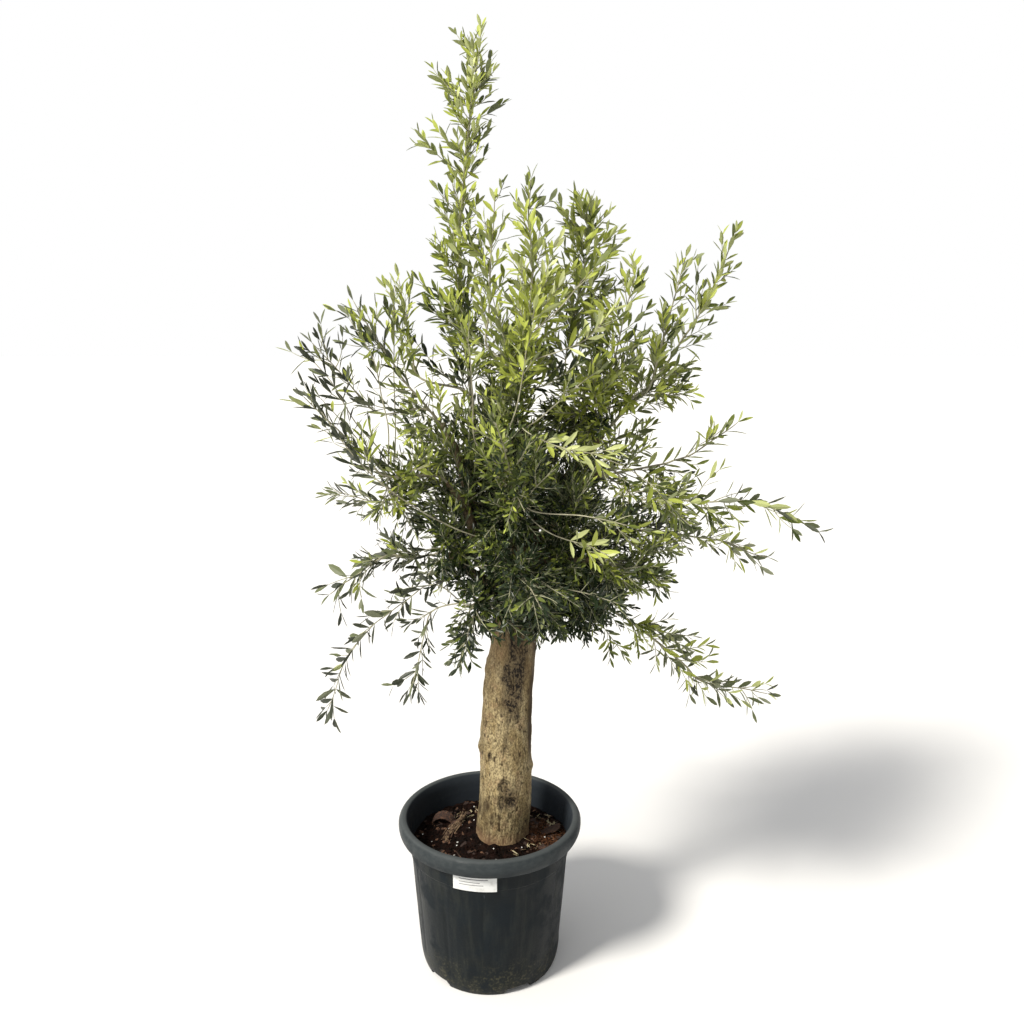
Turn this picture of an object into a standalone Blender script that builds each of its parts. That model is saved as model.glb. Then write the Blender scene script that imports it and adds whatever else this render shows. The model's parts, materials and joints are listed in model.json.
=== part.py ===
"""Potted olive tree: nursery pot, soil, pollarded trunk, boughs and the masses of its crown.

Metres, +Z up. The origin is the centre of the pot's flat underside, and the tree is seen from -Y.
Every foliage mass is an uneven closed solid round its leading shoot, and gives way to its neighbours.
"""
import math

import bmesh
import bpy
import numpy as np

# ---- Driving dimensions, in metres ------------------------------------------------------------
GAP = 0.0003                # clearance between pieces that touch

POT_HEIGHT = 0.380
RIM_RADIUS = 0.225          # widest point of the rolled collar
RIM_INNER_RADIUS = 0.204
COLLAR_HEIGHT = 0.045
BAND_HEIGHT = 0.044         # plain band under the collar, where the label sits
BODY_TOP_RADIUS = 0.1935    # just under the band
BODY_FOOT_RADIUS = 0.1725   # where the side turns in to the base
BASE_RADIUS = 0.164         # flat underside
WALL = 0.0035
FLOOR_THICKNESS = 0.018   # the floor is raised over the notched foot
POT_TURN = math.radians(7)  # turns the notches to their places round the foot
POT_STEPS = 50
NOTCH_COUNT = 5
NOTCH_HEIGHT = 0.012
NOTCH_SPAN = math.radians(22)

SOIL_LEVEL = 0.310
SOIL_LUMPS = 0.006          # how far the surface rises and sinks away from the trunk

LABEL_HEIGHT = 0.040
LABEL_FROM = math.radians(-24)   # measured round the pot from its front
LABEL_TO = math.radians(6)
LABEL_THICKNESS = 0.0008

TRUNK_SIDES = 18
TRUNK_STATIONS = (          # height, centre x, radius: a slight lean, a small flare and a swollen head
    (SOIL_LEVEL + GAP, 0.030, 0.071),
    (0.345, 0.031, 0.067),
    (0.420, 0.038, 0.064),
    (0.560, 0.039, 0.063),
    (0.700, 0.045, 0.060),
    (0.840, 0.060, 0.053),
    (0.950, 0.058, 0.052),
    (1.020, 0.055, 0.059),
    (1.060, 0.055, 0.052),
    (1.080, 0.055, 0.030),
)
HEAD_X = 0.055
HEAD_HEIGHT = 1.030         # middle of the swollen head
LOW_BOUGH_HEIGHT = 0.965    # the lowest boughs leave just under the head

BOUGH_SIDES = 8
BOUGH_RINGS = 6
MASS_SIDES = 9
MASS_RINGS = 6
MASS_MARGIN = 0.10          # share of a mass's girth that stays clear beside each neighbour

# Boughs: name, radius at the trunk, radius where it enters its mass, the mass it carries, the height
# it leaves the trunk at, and its compass heading and climb there in degrees (heading 0 is +X, 90 is +Y).
BOUGHS = (
    ("bough_leader", 0.017, 0.011, "leader_base", HEAD_HEIGHT, 150, 80),
    ("bough_centre", 0.016, 0.011, "centre_base", HEAD_HEIGHT, 262, 62),
    ("bough_right_wing", 0.016, 0.011, "right_wing_base", HEAD_HEIGHT, 20, 50),
    ("bough_right", 0.014, 0.009, "right_core", HEAD_HEIGHT, 340, 28),
    ("bough_right_low", 0.012, 0.008, "right_low_spray", HEAD_HEIGHT, 15, 2),
    ("bough_lower_right", 0.012, 0.008, "lower_right_core", HEAD_HEIGHT, 312, 4),
    ("bough_lower_right_weep", 0.011, 0.007, "lower_right_weep", LOW_BOUGH_HEIGHT, 350, 4),
    ("bough_left_shoulder", 0.014, 0.010, "left_shoulder", HEAD_HEIGHT, 196, 44),
    ("bough_left", 0.013, 0.009, "left_core", HEAD_HEIGHT, 215, 14),
    ("bough_lower_left", 0.012, 0.008, "lower_left_core", LOW_BOUGH_HEIGHT, 228, 14),
    ("bough_back_high", 0.014, 0.010, "back_high", HEAD_HEIGHT, 90, 58),
    ("bough_back", 0.013, 0.009, "back_middle", HEAD_HEIGHT, 78, 20),
    ("bough_back_left", 0.013, 0.009, "back_left", HEAD_HEIGHT, 140, 18),
    ("bough_back_right", 0.012, 0.008, "back_right", HEAD_HEIGHT, 45, 16),
)

# Foliage masses: name, where it starts (None goes on from the row above), its tip, how far its
# middle arches up, and its girth as a radius.
MASSES = (
    ("leader_base", (-0.02, 0.02, 1.29), (-0.06, 0.02, 1.60), 0.00, 0.095),
    ("leader_middle", None, (-0.05, 0.00, 1.92), 0.00, 0.090),
    ("leader_tip", None, (-0.01, 0.00, 2.22), 0.00, 0.085),
    ("leader_side", (0.00, -0.06, 1.53), (0.02, -0.05, 1.86), 0.00, 0.060),
    ("centre_base", (0.04, -0.10, 1.29), (0.09, -0.12, 1.53), 0.00, 0.100),
    ("centre_spire", None, (0.09, -0.05, 1.90), 0.00, 0.070),
    ("centre_right", (0.18, 0.03, 1.50), (0.25, 0.06, 1.85), 0.00, 0.090),
    ("right_wing_base", (0.27, 0.08, 1.31), (0.42, 0.10, 1.46), 0.00, 0.085),
    ("right_wing_middle", None, (0.51, 0.10, 1.61), 0.00, 0.080),
    ("right_wing_tip", None, (0.58, 0.10, 1.80), 0.00, 0.060),
    ("right_wing_inner", (0.25, -0.05, 1.39), (0.33, -0.06, 1.70), 0.00, 0.080),
    ("right_wing_spur", (0.37, -0.01, 1.44), (0.45, -0.01, 1.74), 0.00, 0.055),
    ("right_core", (0.25, -0.05, 1.23), (0.45, -0.08, 1.27), 0.00, 0.100),
    ("right_high_spray", None, (0.57, -0.08, 1.37), 0.00, 0.050),
    ("right_reach", (0.33, -0.18, 1.20), (0.56, -0.20, 1.21), 0.00, 0.060),
    ("right_reach_tip", None, (0.72, -0.22, 1.13), 0.00, 0.045),
    ("right_low_spray", (0.32, 0.05, 1.08), (0.70, 0.08, 0.99), 0.03, 0.055),
    ("lower_right_core", (0.23, -0.14, 1.06), (0.41, -0.20, 1.01), 0.02, 0.070),
    ("lower_right_weep", (0.24, -0.02, 0.93), (0.50, -0.04, 0.73), 0.03, 0.060),
    ("lower_right_tip", None, (0.68, -0.05, 0.70), 0.01, 0.045),
    ("left_shoulder", (-0.10, -0.08, 1.35), (-0.22, -0.11, 1.51), 0.00, 0.080),
    ("left_shoulder_tip", None, (-0.29, -0.12, 1.64), 0.00, 0.055),
    ("left_spur", (-0.17, 0.06, 1.46), (-0.21, 0.08, 1.70), 0.00, 0.060),
    ("left_core", (-0.09, -0.10, 1.22), (-0.24, -0.16, 1.27), 0.00, 0.100),
    ("left_reach", None, (-0.40, -0.18, 1.44), 0.00, 0.055),
    ("left_high_reach", (-0.26, -0.03, 1.38), (-0.40, -0.06, 1.55), 0.00, 0.050),
    ("left_middle_tip", (-0.25, 0.05, 1.14), (-0.40, 0.10, 1.17), 0.01, 0.055),
    ("lower_left_core", (-0.09, -0.10, 1.06), (-0.23, -0.16, 1.06), 0.02, 0.080),
    ("lower_left_weep", None, (-0.35, -0.20, 0.98), 0.02, 0.050),
    ("lower_left_long", (-0.17, 0.06, 0.92), (-0.35, 0.08, 0.76), 0.03, 0.050),
    ("lower_left_long_tip", None, (-0.42, 0.08, 0.59), 0.00, 0.045),
    ("lower_left_inner", (-0.13, -0.12, 0.92), (-0.18, -0.14, 0.73), 0.02, 0.036),
    ("front_high", (0.07, -0.20, 1.20), (0.02, -0.42, 1.40), 0.02, 0.095),
    ("front_low", (0.06, -0.16, 1.06), (0.12, -0.40, 1.00), 0.02, 0.090),
    ("heart_right", (0.16, -0.12, 1.11), (0.22, -0.24, 1.27), 0.00, 0.080),
    ("skirt_left", (-0.02, -0.13, 0.97), (-0.07, -0.22, 0.82), 0.00, 0.055),
    ("back_high", (0.06, 0.16, 1.29), (0.02, 0.30, 1.60), 0.00, 0.110),
    ("back_middle", (0.08, 0.20, 1.13), (0.10, 0.46, 1.28), 0.02, 0.100),
    ("back_left", (-0.08, 0.16, 1.13), (-0.26, 0.36, 1.36), 0.01, 0.100),
    ("back_right", (0.22, 0.20, 1.14), (0.42, 0.38, 1.28), 0.02, 0.095),
    ("back_low_left", (-0.06, 0.16, 1.00), (-0.20, 0.38, 0.84), 0.03, 0.080),
    ("back_low_right", (0.18, 0.18, 0.98), (0.36, 0.36, 0.82), 0.03, 0.080),
)


# ---- Scene, materials and small helpers -------------------------------------------------------
def clear_scene():
    for old in list(bpy.data.objects):
        bpy.data.objects.remove(old, do_unlink=True)


def plain_material(name, colour, roughness):
    material = bpy.data.materials.new(name)
    material.use_nodes = True
    shader = material.node_tree.nodes["Principled BSDF"]
    shader.inputs["Base Color"].default_value = (*colour, 1.0)
    shader.inputs["Roughness"].default_value = roughness
    shader.inputs["Metallic"].default_value = 0.0
    material.diffuse_color = (*colour, 1.0)
    return material


def add_object(name, bm, material, smooth=True):
    """Turn a bmesh into a named object whose faces all point outward."""
    bmesh.ops.recalc_face_normals(bm, faces=bm.faces)
    mesh = bpy.data.meshes.new(name)
    bm.to_mesh(mesh)
    bm.free()
    mesh.materials.append(material)
    if smooth:
        mesh.shade_smooth()
        mesh.set_sharp_from_angle(angle=math.radians(50))
    thing = bpy.data.objects.new(name, mesh)
    bpy.context.scene.collection.objects.link(thing)
    return thing


def rings_to_bmesh(rings, first_pole=None, last_pole=None):
    """Skin equal rings of points into a closed tube; each end is a pole point or a flat cap."""
    bm = bmesh.new()
    loops = [[bm.verts.new(point) for point in ring] for ring in rings]
    count = len(loops[0])
    for lower, upper in zip(loops, loops[1:]):
        for i in range(count):
            j = (i + 1) % count
            bm.faces.new((lower[i], lower[j], upper[j], upper[i]))
    for loop, pole in ((loops[0], first_pole), (loops[-1], last_pole)):
        if pole is None:
            bm.faces.new(loop)
        else:
            tip = bm.verts.new(pole)
            for i in range(count):
                bm.faces.new((loop[i], loop[(i + 1) % count], tip))
    return bm


def turned(profile):
    """Solid of revolution about +Z from an open profile (radius, height) that ends on the axis."""
    bm = bmesh.new()
    points = [bm.verts.new((radius, 0.0, height)) for radius, height in profile]
    edges = [bm.edges.new(pair) for pair in zip(points, points[1:])]
    bmesh.ops.spin(bm, geom=points + edges, cent=(0, 0, 0), axis=(0, 0, 1),
                   angle=2 * math.pi, steps=POT_STEPS)
    bmesh.ops.remove_doubles(bm, verts=bm.verts, dist=1e-5)
    return bm


# ---- Pot, soil and label ----------------------------------------------------------------------
COLLAR_BOTTOM = POT_HEIGHT - COLLAR_HEIGHT
BAND_BOTTOM = COLLAR_BOTTOM - BAND_HEIGHT
TURN_IN_HEIGHT = 0.034      # where the straight side begins, above the rounded foot


def side_radius(height):
    """Outer radius of the straight tapering side below the collar."""
    share = (height - TURN_IN_HEIGHT) / (BAND_BOTTOM - TURN_IN_HEIGHT)
    return BODY_FOOT_RADIUS + share * (BODY_TOP_RADIUS - BODY_FOOT_RADIUS)


def inner_radius(height):
    """Inner wall: one wall thickness inside the side, opening to the rim inside the collar."""
    share = (height - FLOOR_THICKNESS) / (POT_HEIGHT - FLOOR_THICKNESS)
    foot = BODY_FOOT_RADIUS - 2 * WALL
    top = RIM_INNER_RADIUS - WALL
    return foot + share * (top - foot)


def build_pot(material):
    """Turned shell with a rolled collar and a plain band; five notches are lifted into its foot."""
    outer = [
        (0.0, 0.0),
        (BASE_RADIUS - 0.022, 0.0),
        (BASE_RADIUS, 0.0),
        (BASE_RADIUS + 0.0025, 0.008),
        (BASE_RADIUS + 0.0055, 0.017),
        (BODY_FOOT_RADIUS, TURN_IN_HEIGHT),
        (BODY_TOP_RADIUS, BAND_BOTTOM),
        (BODY_TOP_RADIUS + 0.0015, BAND_BOTTOM + 0.002),
        (BODY_TOP_RADIUS + 0.0035, COLLAR_BOTTOM),
        (RIM_RADIUS - 0.008, COLLAR_BOTTOM + 0.002),
        (RIM_RADIUS - 0.002, COLLAR_BOTTOM + 0.014),
        (RIM_RADIUS, COLLAR_BOTTOM + 0.028),
        (RIM_RADIUS - 0.003, POT_HEIGHT - 0.004),
        (RIM_RADIUS - 0.009, POT_HEIGHT),
        (RIM_INNER_RADIUS + 0.003, POT_HEIGHT - 0.002),
        (RIM_INNER_RADIUS, POT_HEIGHT - 0.010),
    ]
    inner = [(inner_radius(height), height) for height in (SOIL_LEVEL, FLOOR_THICKNESS)]
    bm = turned(outer + inner + [(0.0, FLOOR_THICKNESS)])
    for vertex in bm.verts:
        reach = math.hypot(vertex.co.x, vertex.co.y)
        if vertex.co.z > NOTCH_HEIGHT or reach < BASE_RADIUS - 0.010:
            continue
        turn = math.atan2(vertex.co.y, vertex.co.x) % (2 * math.pi / NOTCH_COUNT)
        off_centre = min(turn, 2 * math.pi / NOTCH_COUNT - turn)
        if off_centre < NOTCH_SPAN / 2 + 1e-4:
            vertex.co.z = NOTCH_HEIGHT
    pot = add_object("pot", bm, material)
    pot.rotation_euler.z = POT_TURN
    return pot


def build_soil(material):
    """Compost that fills the pot to its level: flat under the trunk, uneven towards the wall."""
    rng = np.random.default_rng(11)
    flat = TRUNK_STATIONS[0][1] + TRUNK_STATIONS[0][2] + 0.005
    shoulder = SOIL_LEVEL - 0.004       # where the surface meets the wall
    edge = inner_radius(shoulder) - GAP
    floor = FLOOR_THICKNESS + GAP
    profile = [(0.0, floor), (inner_radius(floor) - GAP, floor), (edge, shoulder)]
    profile += [(flat + share * (edge - flat), SOIL_LEVEL) for share in (0.72, 0.38, 0.0)]
    bm = turned(profile + [(0.0, SOIL_LEVEL)])
    for vertex in bm.verts:
        reach = math.hypot(vertex.co.x, vertex.co.y)
        if vertex.co.z > SOIL_LEVEL - 0.001 and flat + 0.002 < reach < edge - 0.002:
            vertex.co.z += SOIL_LUMPS * rng.uniform(-1.0, 1.0)
    soil = add_object("soil", bm, material, smooth=False)
    soil.rotation_euler.z = POT_TURN
    return soil


def build_label(material):
    """Thin blank label bent round the band under the collar."""
    steps = 8
    top = COLLAR_BOTTOM - 0.003
    heights = (top - LABEL_HEIGHT, top)
    rings = []
    for i in range(steps + 1):
        turn = -math.pi / 2 + LABEL_FROM + (LABEL_TO - LABEL_FROM) * i / steps
        inside = BODY_TOP_RADIUS + 0.0035 + GAP
        outside = inside + LABEL_THICKNESS
        corners = ((inside, heights[0]), (outside, heights[0]), (outside, heights[1]), (inside, heights[1]))
        rings.append([(r * math.cos(turn), r * math.sin(turn), z) for r, z in corners])
    return add_object("label", rings_to_bmesh(rings), material, smooth=False)


# ---- Trunk ------------------------------------------------------------------------------------
def build_trunk(material):
    """Leaning stem from a flat cut at the soil to the swollen head where the boughs leave."""
    rings = []
    for height, centre_x, radius in TRUNK_STATIONS:
        ring = []
        for i in range(TRUNK_SIDES):
            turn = 2 * math.pi * i / TRUNK_SIDES
            uneven = 1.0 + 0.025 * math.sin(2 * turn + 3.0 * height) + 0.015 * math.sin(5 * turn - 7.0 * height)
            ring.append((centre_x + radius * uneven * math.cos(turn), radius * uneven * math.sin(turn), height))
        rings.append(ring)
    return add_object("trunk", rings_to_bmesh(rings), material)


# ---- Centre lines of the masses ---------------------------------------------------------------
def bowed_line(start, tip, bow, samples=13):
    """Points along a quadratic curve whose middle rises by bow, and its directions there."""
    start, tip = np.array(start), np.array(tip)
    middle = (start + tip) / 2 + np.array((0.0, 0.0, 2.0 * bow))
    t = np.linspace(0.0, 1.0, samples)[:, None]
    points = (1 - t) ** 2 * start + 2 * t * (1 - t) * middle + t ** 2 * tip
    slopes = 2 * (1 - t) * (middle - start) + 2 * t * (tip - middle)
    return points, slopes / np.linalg.norm(slopes, axis=1)[:, None]


def plan_masses():
    """Work out each mass's centre line, girth, neighbours in its chain and joint planes."""
    plans = {}
    previous = None
    for name, start, tip, bow, girth in MASSES:
        parent = None
        if start is None:
            parent = previous
            start = plans[parent]["line"][-1]
        line, slopes = bowed_line(start, tip, bow)
        plans[name] = {"line": line, "slopes": slopes, "girth": girth, "parent": parent, "child": None}
        if parent:
            plans[parent]["child"] = name
            joint = plans[parent]["slopes"][-1] + slopes[0]
            joint = joint / np.linalg.norm(joint)
            plans[parent]["slopes"][-1] = joint
            slopes[0] = joint
        previous = name
    return plans


def distance_to_line(points, line):
    """Shortest distance from each point to a chain of straight pieces."""
    a, b = line[:-1], line[1:]
    along = b - a
    t = np.einsum("pij,ij->pi", points[:, None] - a[None], along) / (along ** 2).sum(1)
    nearest = a[None] + np.clip(t, 0.0, 1.0)[..., None] * along[None]
    return np.linalg.norm(points[:, None] - nearest, axis=2).min(axis=1)


# ---- Boughs -----------------------------------------------------------------------------------
def bough_line(trunk_points, height, heading, climb, end, end_slope):
    """Centre line of a bough: square off the trunk, then curving into the mass it carries."""
    flat = math.cos(math.radians(climb))
    leave = np.array((flat * math.cos(math.radians(heading)), flat * math.sin(math.radians(heading)),
                      math.sin(math.radians(climb))))
    centre = np.array((HEAD_X, 0.0, height))
    nearby = trunk_points[np.abs(trunk_points[:, 2] - height) < 0.075]
    reach = ((nearby - centre) @ leave).max() + GAP
    start = centre + leave * reach
    span = np.linalg.norm(end - start)
    first, second = start + leave * span * 0.35, end - end_slope * span * 0.35
    t = np.linspace(0.0, 1.0, BOUGH_RINGS)[:, None]
    points = ((1 - t) ** 3 * start + 3 * t * (1 - t) ** 2 * first
              + 3 * t ** 2 * (1 - t) * second + t ** 3 * end)
    slopes = np.gradient(points, axis=0)
    slopes[0], slopes[-1] = leave, end_slope
    return points, slopes / np.linalg.norm(slopes, axis=1)[:, None]


def cross_frame(slope):
    """Two directions square to a slope and to each other."""
    side = np.cross(slope, (0.0, 0.0, 1.0) if abs(slope[2]) < 0.9 else (1.0, 0.0, 0.0))
    side = side / np.linalg.norm(side)
    return side, np.cross(slope, side)


def circle(centre, slope, radius, sides, side=None):
    """A ring of points square to a slope, starting towards the given side."""
    if side is None:
        side, other = cross_frame(slope)
    else:
        side = side - slope * (side @ slope)
        side = side / np.linalg.norm(side)
        other = np.cross(slope, side)
    turns = 2 * np.pi * np.arange(sides) / sides
    return centre + radius * (np.cos(turns)[:, None] * side + np.sin(turns)[:, None] * other), side


def build_bough(name, radii, points, slopes, material):
    """One tapering limb with flat ends, its rings carried along without twist."""
    rings = []
    side = None
    for i, (centre, slope) in enumerate(zip(points, slopes)):
        share = i / (len(points) - 1)
        radius = radii[0] + share * (radii[1] - radii[0])
        ring, side = circle(centre, slope, radius, BOUGH_SIDES, side)
        rings.append(ring)
    return add_object(name, rings_to_bmesh(rings), material)


# ---- Foliage masses ---------------------------------------------------------------------------
def free_share(name, centre, targets, plans, limbs):
    """How far each spoke may run from the centre line before it meets a neighbour, from 0 to 1."""
    plan = plans[name]
    steps = np.linspace(0.12, 1.0, 15)
    reached = np.zeros(len(targets))
    going = np.ones(len(targets), dtype=bool)
    for step in steps:
        points = centre + step * (targets - centre)
        own = distance_to_line(points, plan["line"]) / plan["girth"]
        clear = np.ones(len(targets), dtype=bool)
        for other, other_plan in plans.items():
            if other in (name, plan["parent"], plan["child"]):
                continue
            theirs = distance_to_line(points, other_plan["line"]) / other_plan["girth"]
            clear &= theirs - own > MASS_MARGIN
        for limb, line, radius in limbs:
            reach = distance_to_line(points, line)
            clear &= reach > radius + 0.012
        clear &= (points - plan["line"][0]) @ plan["slopes"][0] > -0.0001
        if plan["child"]:
            clear &= (points - plan["line"][-1]) @ plan["slopes"][-1] < 0.0001
        going &= clear
        reached[going] = step
    return np.maximum(reached, steps[0])


def build_mass(name, seed, plans, limbs, material):
    """Uneven closed solid round its shoot: blunt at both ends, lumpy, and clear of its neighbours."""
    plan = plans[name]
    rng = np.random.default_rng(seed)
    phase = rng.uniform(0.0, 2 * np.pi, 3)
    line, slopes, girth = plan["line"], plan["slopes"], plan["girth"]
    last = 1.0 if plan["child"] else 0.90
    places = np.linspace(0.0, last, MASS_RINGS)
    turns = 2 * np.pi * np.arange(MASS_SIDES) / MASS_SIDES
    rings = []
    side = None
    for i, t in enumerate(places):
        where = t * (len(line) - 1)
        low = min(int(where), len(line) - 2)
        centre = line[low] + (where - low) * (line[low + 1] - line[low])
        slope = slopes[low] + (where - low) * (slopes[low + 1] - slopes[low])
        slope = slope / np.linalg.norm(slope)
        if i == 0:
            centre = centre + slope * GAP
        elif plan["child"] and i == MASS_RINGS - 1:
            centre = centre - slope * GAP
        fullness = math.sin(math.pi * (0.20 + 0.66 * t)) ** 0.8
        lumps = (1.0 + 0.15 * np.sin(2 * turns + phase[0] + 3 * t) + 0.10 * np.sin(3 * turns + phase[1] - 6 * t)
                 + 0.10 * math.sin(7 * t + phase[2]) + rng.uniform(-0.07, 0.07, MASS_SIDES))
        ring, side = circle(centre, slope, girth * fullness, MASS_SIDES, side)
        targets = centre + (ring - centre) * lumps[:, None]
        share = free_share(name, centre, targets, plans, limbs)
        rings.append(centre + (targets - centre) * share[:, None])
    tip = None if plan["child"] else line[-1]
    return add_object(name, rings_to_bmesh(rings, last_pole=tip), material, smooth=False)


# ---- The whole tree ---------------------------------------------------------------------------
def main():
    clear_scene()
    plastic = plain_material("pot_plastic", (0.055, 0.065, 0.075), 0.62)
    compost = plain_material("compost", (0.030, 0.018, 0.012), 0.95)
    paper = plain_material("label_paper", (0.80, 0.80, 0.78), 0.55)
    bark = plain_material("trunk_bark", (0.42, 0.30, 0.16), 0.85)
    limb_bark = plain_material("bough_bark", (0.30, 0.25, 0.17), 0.80)

    build_pot(plastic)
    build_soil(compost)
    build_label(paper)
    trunk = build_trunk(bark)
    trunk_points = np.array([tuple(vertex.co) for vertex in trunk.data.vertices])

    plans = plan_masses()
    trunk_line = np.array([(x, 0.0, height) for height, x, radius in TRUNK_STATIONS])
    limbs = [("trunk", trunk_line, 0.060)]
    for name, thick, thin, carried, height, heading, climb in BOUGHS:
        plan = plans[carried]
        points, slopes = bough_line(trunk_points, height, heading, climb, plan["line"][0], plan["slopes"][0])
        points[-1] -= slopes[-1] * GAP
        build_bough(name, (thick, thin), points, slopes, limb_bark)
        limbs.append((carried, points, thick))

    for seed, (name, *_) in enumerate(MASSES, start=100):
        shade = np.random.default_rng(seed).uniform(0.8, 1.2)
        leaves = plain_material(name + "_leaves", (0.16 * shade, 0.22 * shade, 0.06), 0.80)
        others = [limb for limb in limbs if limb[0] != name]
        build_mass(name, seed, plans, others, leaves)


main()
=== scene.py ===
# %% [markdown]
# # A potted olive tree
# The plant is an old olive trunk, cut back hard so that a head of young shoots grows from its top, standing
# in a round nursery pot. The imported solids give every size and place: pot, soil, trunk, boughs and the
# masses that the leaves fill. This script puts real surfaces over them: turned plastic, crumbly compost,
# fissured bark, and shoots that branch by a seeded rule and carry leaves in opposite pairs, as an olive
# does.
# %% The fixed frame
import itertools
import json
import math

import bpy
import numpy as np
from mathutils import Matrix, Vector

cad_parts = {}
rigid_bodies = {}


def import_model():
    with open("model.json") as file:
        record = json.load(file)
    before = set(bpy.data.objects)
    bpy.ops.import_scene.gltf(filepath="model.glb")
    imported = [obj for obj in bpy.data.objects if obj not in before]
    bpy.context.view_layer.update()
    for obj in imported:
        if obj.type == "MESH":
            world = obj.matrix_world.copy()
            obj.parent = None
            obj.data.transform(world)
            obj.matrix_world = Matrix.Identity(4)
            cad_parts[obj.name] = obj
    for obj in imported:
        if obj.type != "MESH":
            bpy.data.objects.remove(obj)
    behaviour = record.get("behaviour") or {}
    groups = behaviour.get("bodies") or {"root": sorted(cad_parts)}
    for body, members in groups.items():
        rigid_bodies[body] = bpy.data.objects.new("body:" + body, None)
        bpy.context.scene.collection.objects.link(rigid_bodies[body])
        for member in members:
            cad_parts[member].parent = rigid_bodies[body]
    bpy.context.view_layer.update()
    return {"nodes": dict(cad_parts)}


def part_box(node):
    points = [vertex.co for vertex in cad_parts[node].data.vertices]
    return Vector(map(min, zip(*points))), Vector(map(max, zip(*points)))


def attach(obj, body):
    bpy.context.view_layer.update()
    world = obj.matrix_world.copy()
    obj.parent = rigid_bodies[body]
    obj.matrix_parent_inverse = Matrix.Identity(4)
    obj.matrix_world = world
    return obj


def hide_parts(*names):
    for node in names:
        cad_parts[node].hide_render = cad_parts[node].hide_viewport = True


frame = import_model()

ROOT = "root"
nodes = frame["nodes"]
print("nodes in the frame:", len(nodes))


# %% [markdown]
# ## Camera
# The tree is seen from the front, from head height, looking ten degrees down. The lens is a phone's, about
# 34 mm on a full frame. A small downward shift keeps the pot in view while the trunk stays plumb.
# %% Camera
CAMERA_PLACE = (0.055, -2.18, 1.605)
CAMERA_DIP = math.radians(10)
LENS_MM = 33.54
FRAMING_SHIFT = -0.0342

camera_data = bpy.data.cameras.new("front_camera")
camera_data.lens = LENS_MM
camera_data.sensor_width = 36.0
camera_data.shift_y = FRAMING_SHIFT
camera = bpy.data.objects.new("front_camera", camera_data)
camera.location = CAMERA_PLACE
camera.rotation_euler = (math.pi / 2 - CAMERA_DIP, 0.0, 0.0)
bpy.context.scene.collection.objects.link(camera)
bpy.context.scene.camera = camera


# %% [markdown]
# ## Light and floor
# A broad sun lamp high on the left stands for a large studio lamp. A sky fills the shadows: it is bright on
# the lamp's side and dim on the other, as walls would be, so the heart of the crown and the right edge of
# the trunk stay dark. To the camera itself the sky is plain white.
# %% Node helper
def add_node(tree, kind, inputs=(), **settings):
    """A node with its settings, and each listed input linked to a socket or set to a value."""
    node = tree.nodes.new("ShaderNode" + kind)
    for key, value in settings.items():
        setattr(node, key, value)
    for key, value in dict(inputs).items():
        if isinstance(value, bpy.types.NodeSocket):
            tree.links.new(value, node.inputs[key])
        else:
            node.inputs[key].default_value = value
    return node


# %% Key light
KEY_STRENGTH = 4.0
KEY_WARMTH = (1.0, 0.955, 0.87)
KEY_SOFTNESS = math.radians(13)
KEY_FROM = Vector((-0.70, -0.55, 0.85))

sun_data = bpy.data.lights.new("key_light", "SUN")
sun_data.energy, sun_data.angle, sun_data.color = KEY_STRENGTH, KEY_SOFTNESS, KEY_WARMTH
key_light = bpy.data.objects.new("key_light", sun_data)
key_light.rotation_euler = KEY_FROM.to_track_quat("Z", "Y").to_euler()
bpy.context.scene.collection.objects.link(key_light)

# %% Sky and floor
SKY_FROM = (-0.80, -0.50, 0.33)
SKY_DIM, SKY_BRIGHT = 0.12, 0.86
FLOOR_REACH, FLOOR_GREY = 30.0, 0.86

sky = bpy.data.worlds.new("pale_sky")
sky.use_nodes = True
sky_tree = sky.node_tree
sky_background = sky_tree.nodes["Background"]
sky_background.inputs["Color"].default_value = (1.0, 1.0, 1.0, 1.0)
sky_way = add_node(sky_tree, "TexCoord").outputs["Generated"]
lamp_side = add_node(sky_tree, "VectorMath", {0: sky_way, 1: SKY_FROM}, operation="DOT_PRODUCT")
sky_fill = add_node(sky_tree, "MapRange", {"Value": lamp_side.outputs["Value"], "From Min": -1.0,
                                           "To Min": SKY_DIM, "To Max": SKY_BRIGHT})
to_camera = add_node(sky_tree, "LightPath").outputs["Is Camera Ray"]
sky_strength = add_node(sky_tree, "MapRange", {"Value": to_camera, "To Min": sky_fill.outputs["Result"],
                                               "To Max": 1.0})
sky_tree.links.new(sky_strength.outputs["Result"], sky_background.inputs["Strength"])
bpy.context.scene.world = sky
bpy.context.scene.view_settings.view_transform = "Standard"

floor_mesh = bpy.data.meshes.new("floor")
floor_corners = [(x * FLOOR_REACH, y * FLOOR_REACH, 0.0) for x, y in [(-1, -1), (1, -1), (1, 1), (-1, 1)]]
floor_mesh.from_pydata(floor_corners, [], [(0, 1, 2, 3)])
floor = bpy.data.objects.new("floor", floor_mesh)
bpy.context.scene.collection.objects.link(floor)
floor_paint = bpy.data.materials.new("pale_floor")
floor_paint.use_nodes = True
floor_shader = floor_paint.node_tree.nodes["Principled BSDF"]
floor_shader.inputs["Base Color"].default_value = (FLOOR_GREY, FLOOR_GREY, FLOOR_GREY, 1.0)
floor_shader.inputs["Roughness"].default_value = 0.9
floor_mesh.materials.append(floor_paint)


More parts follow.
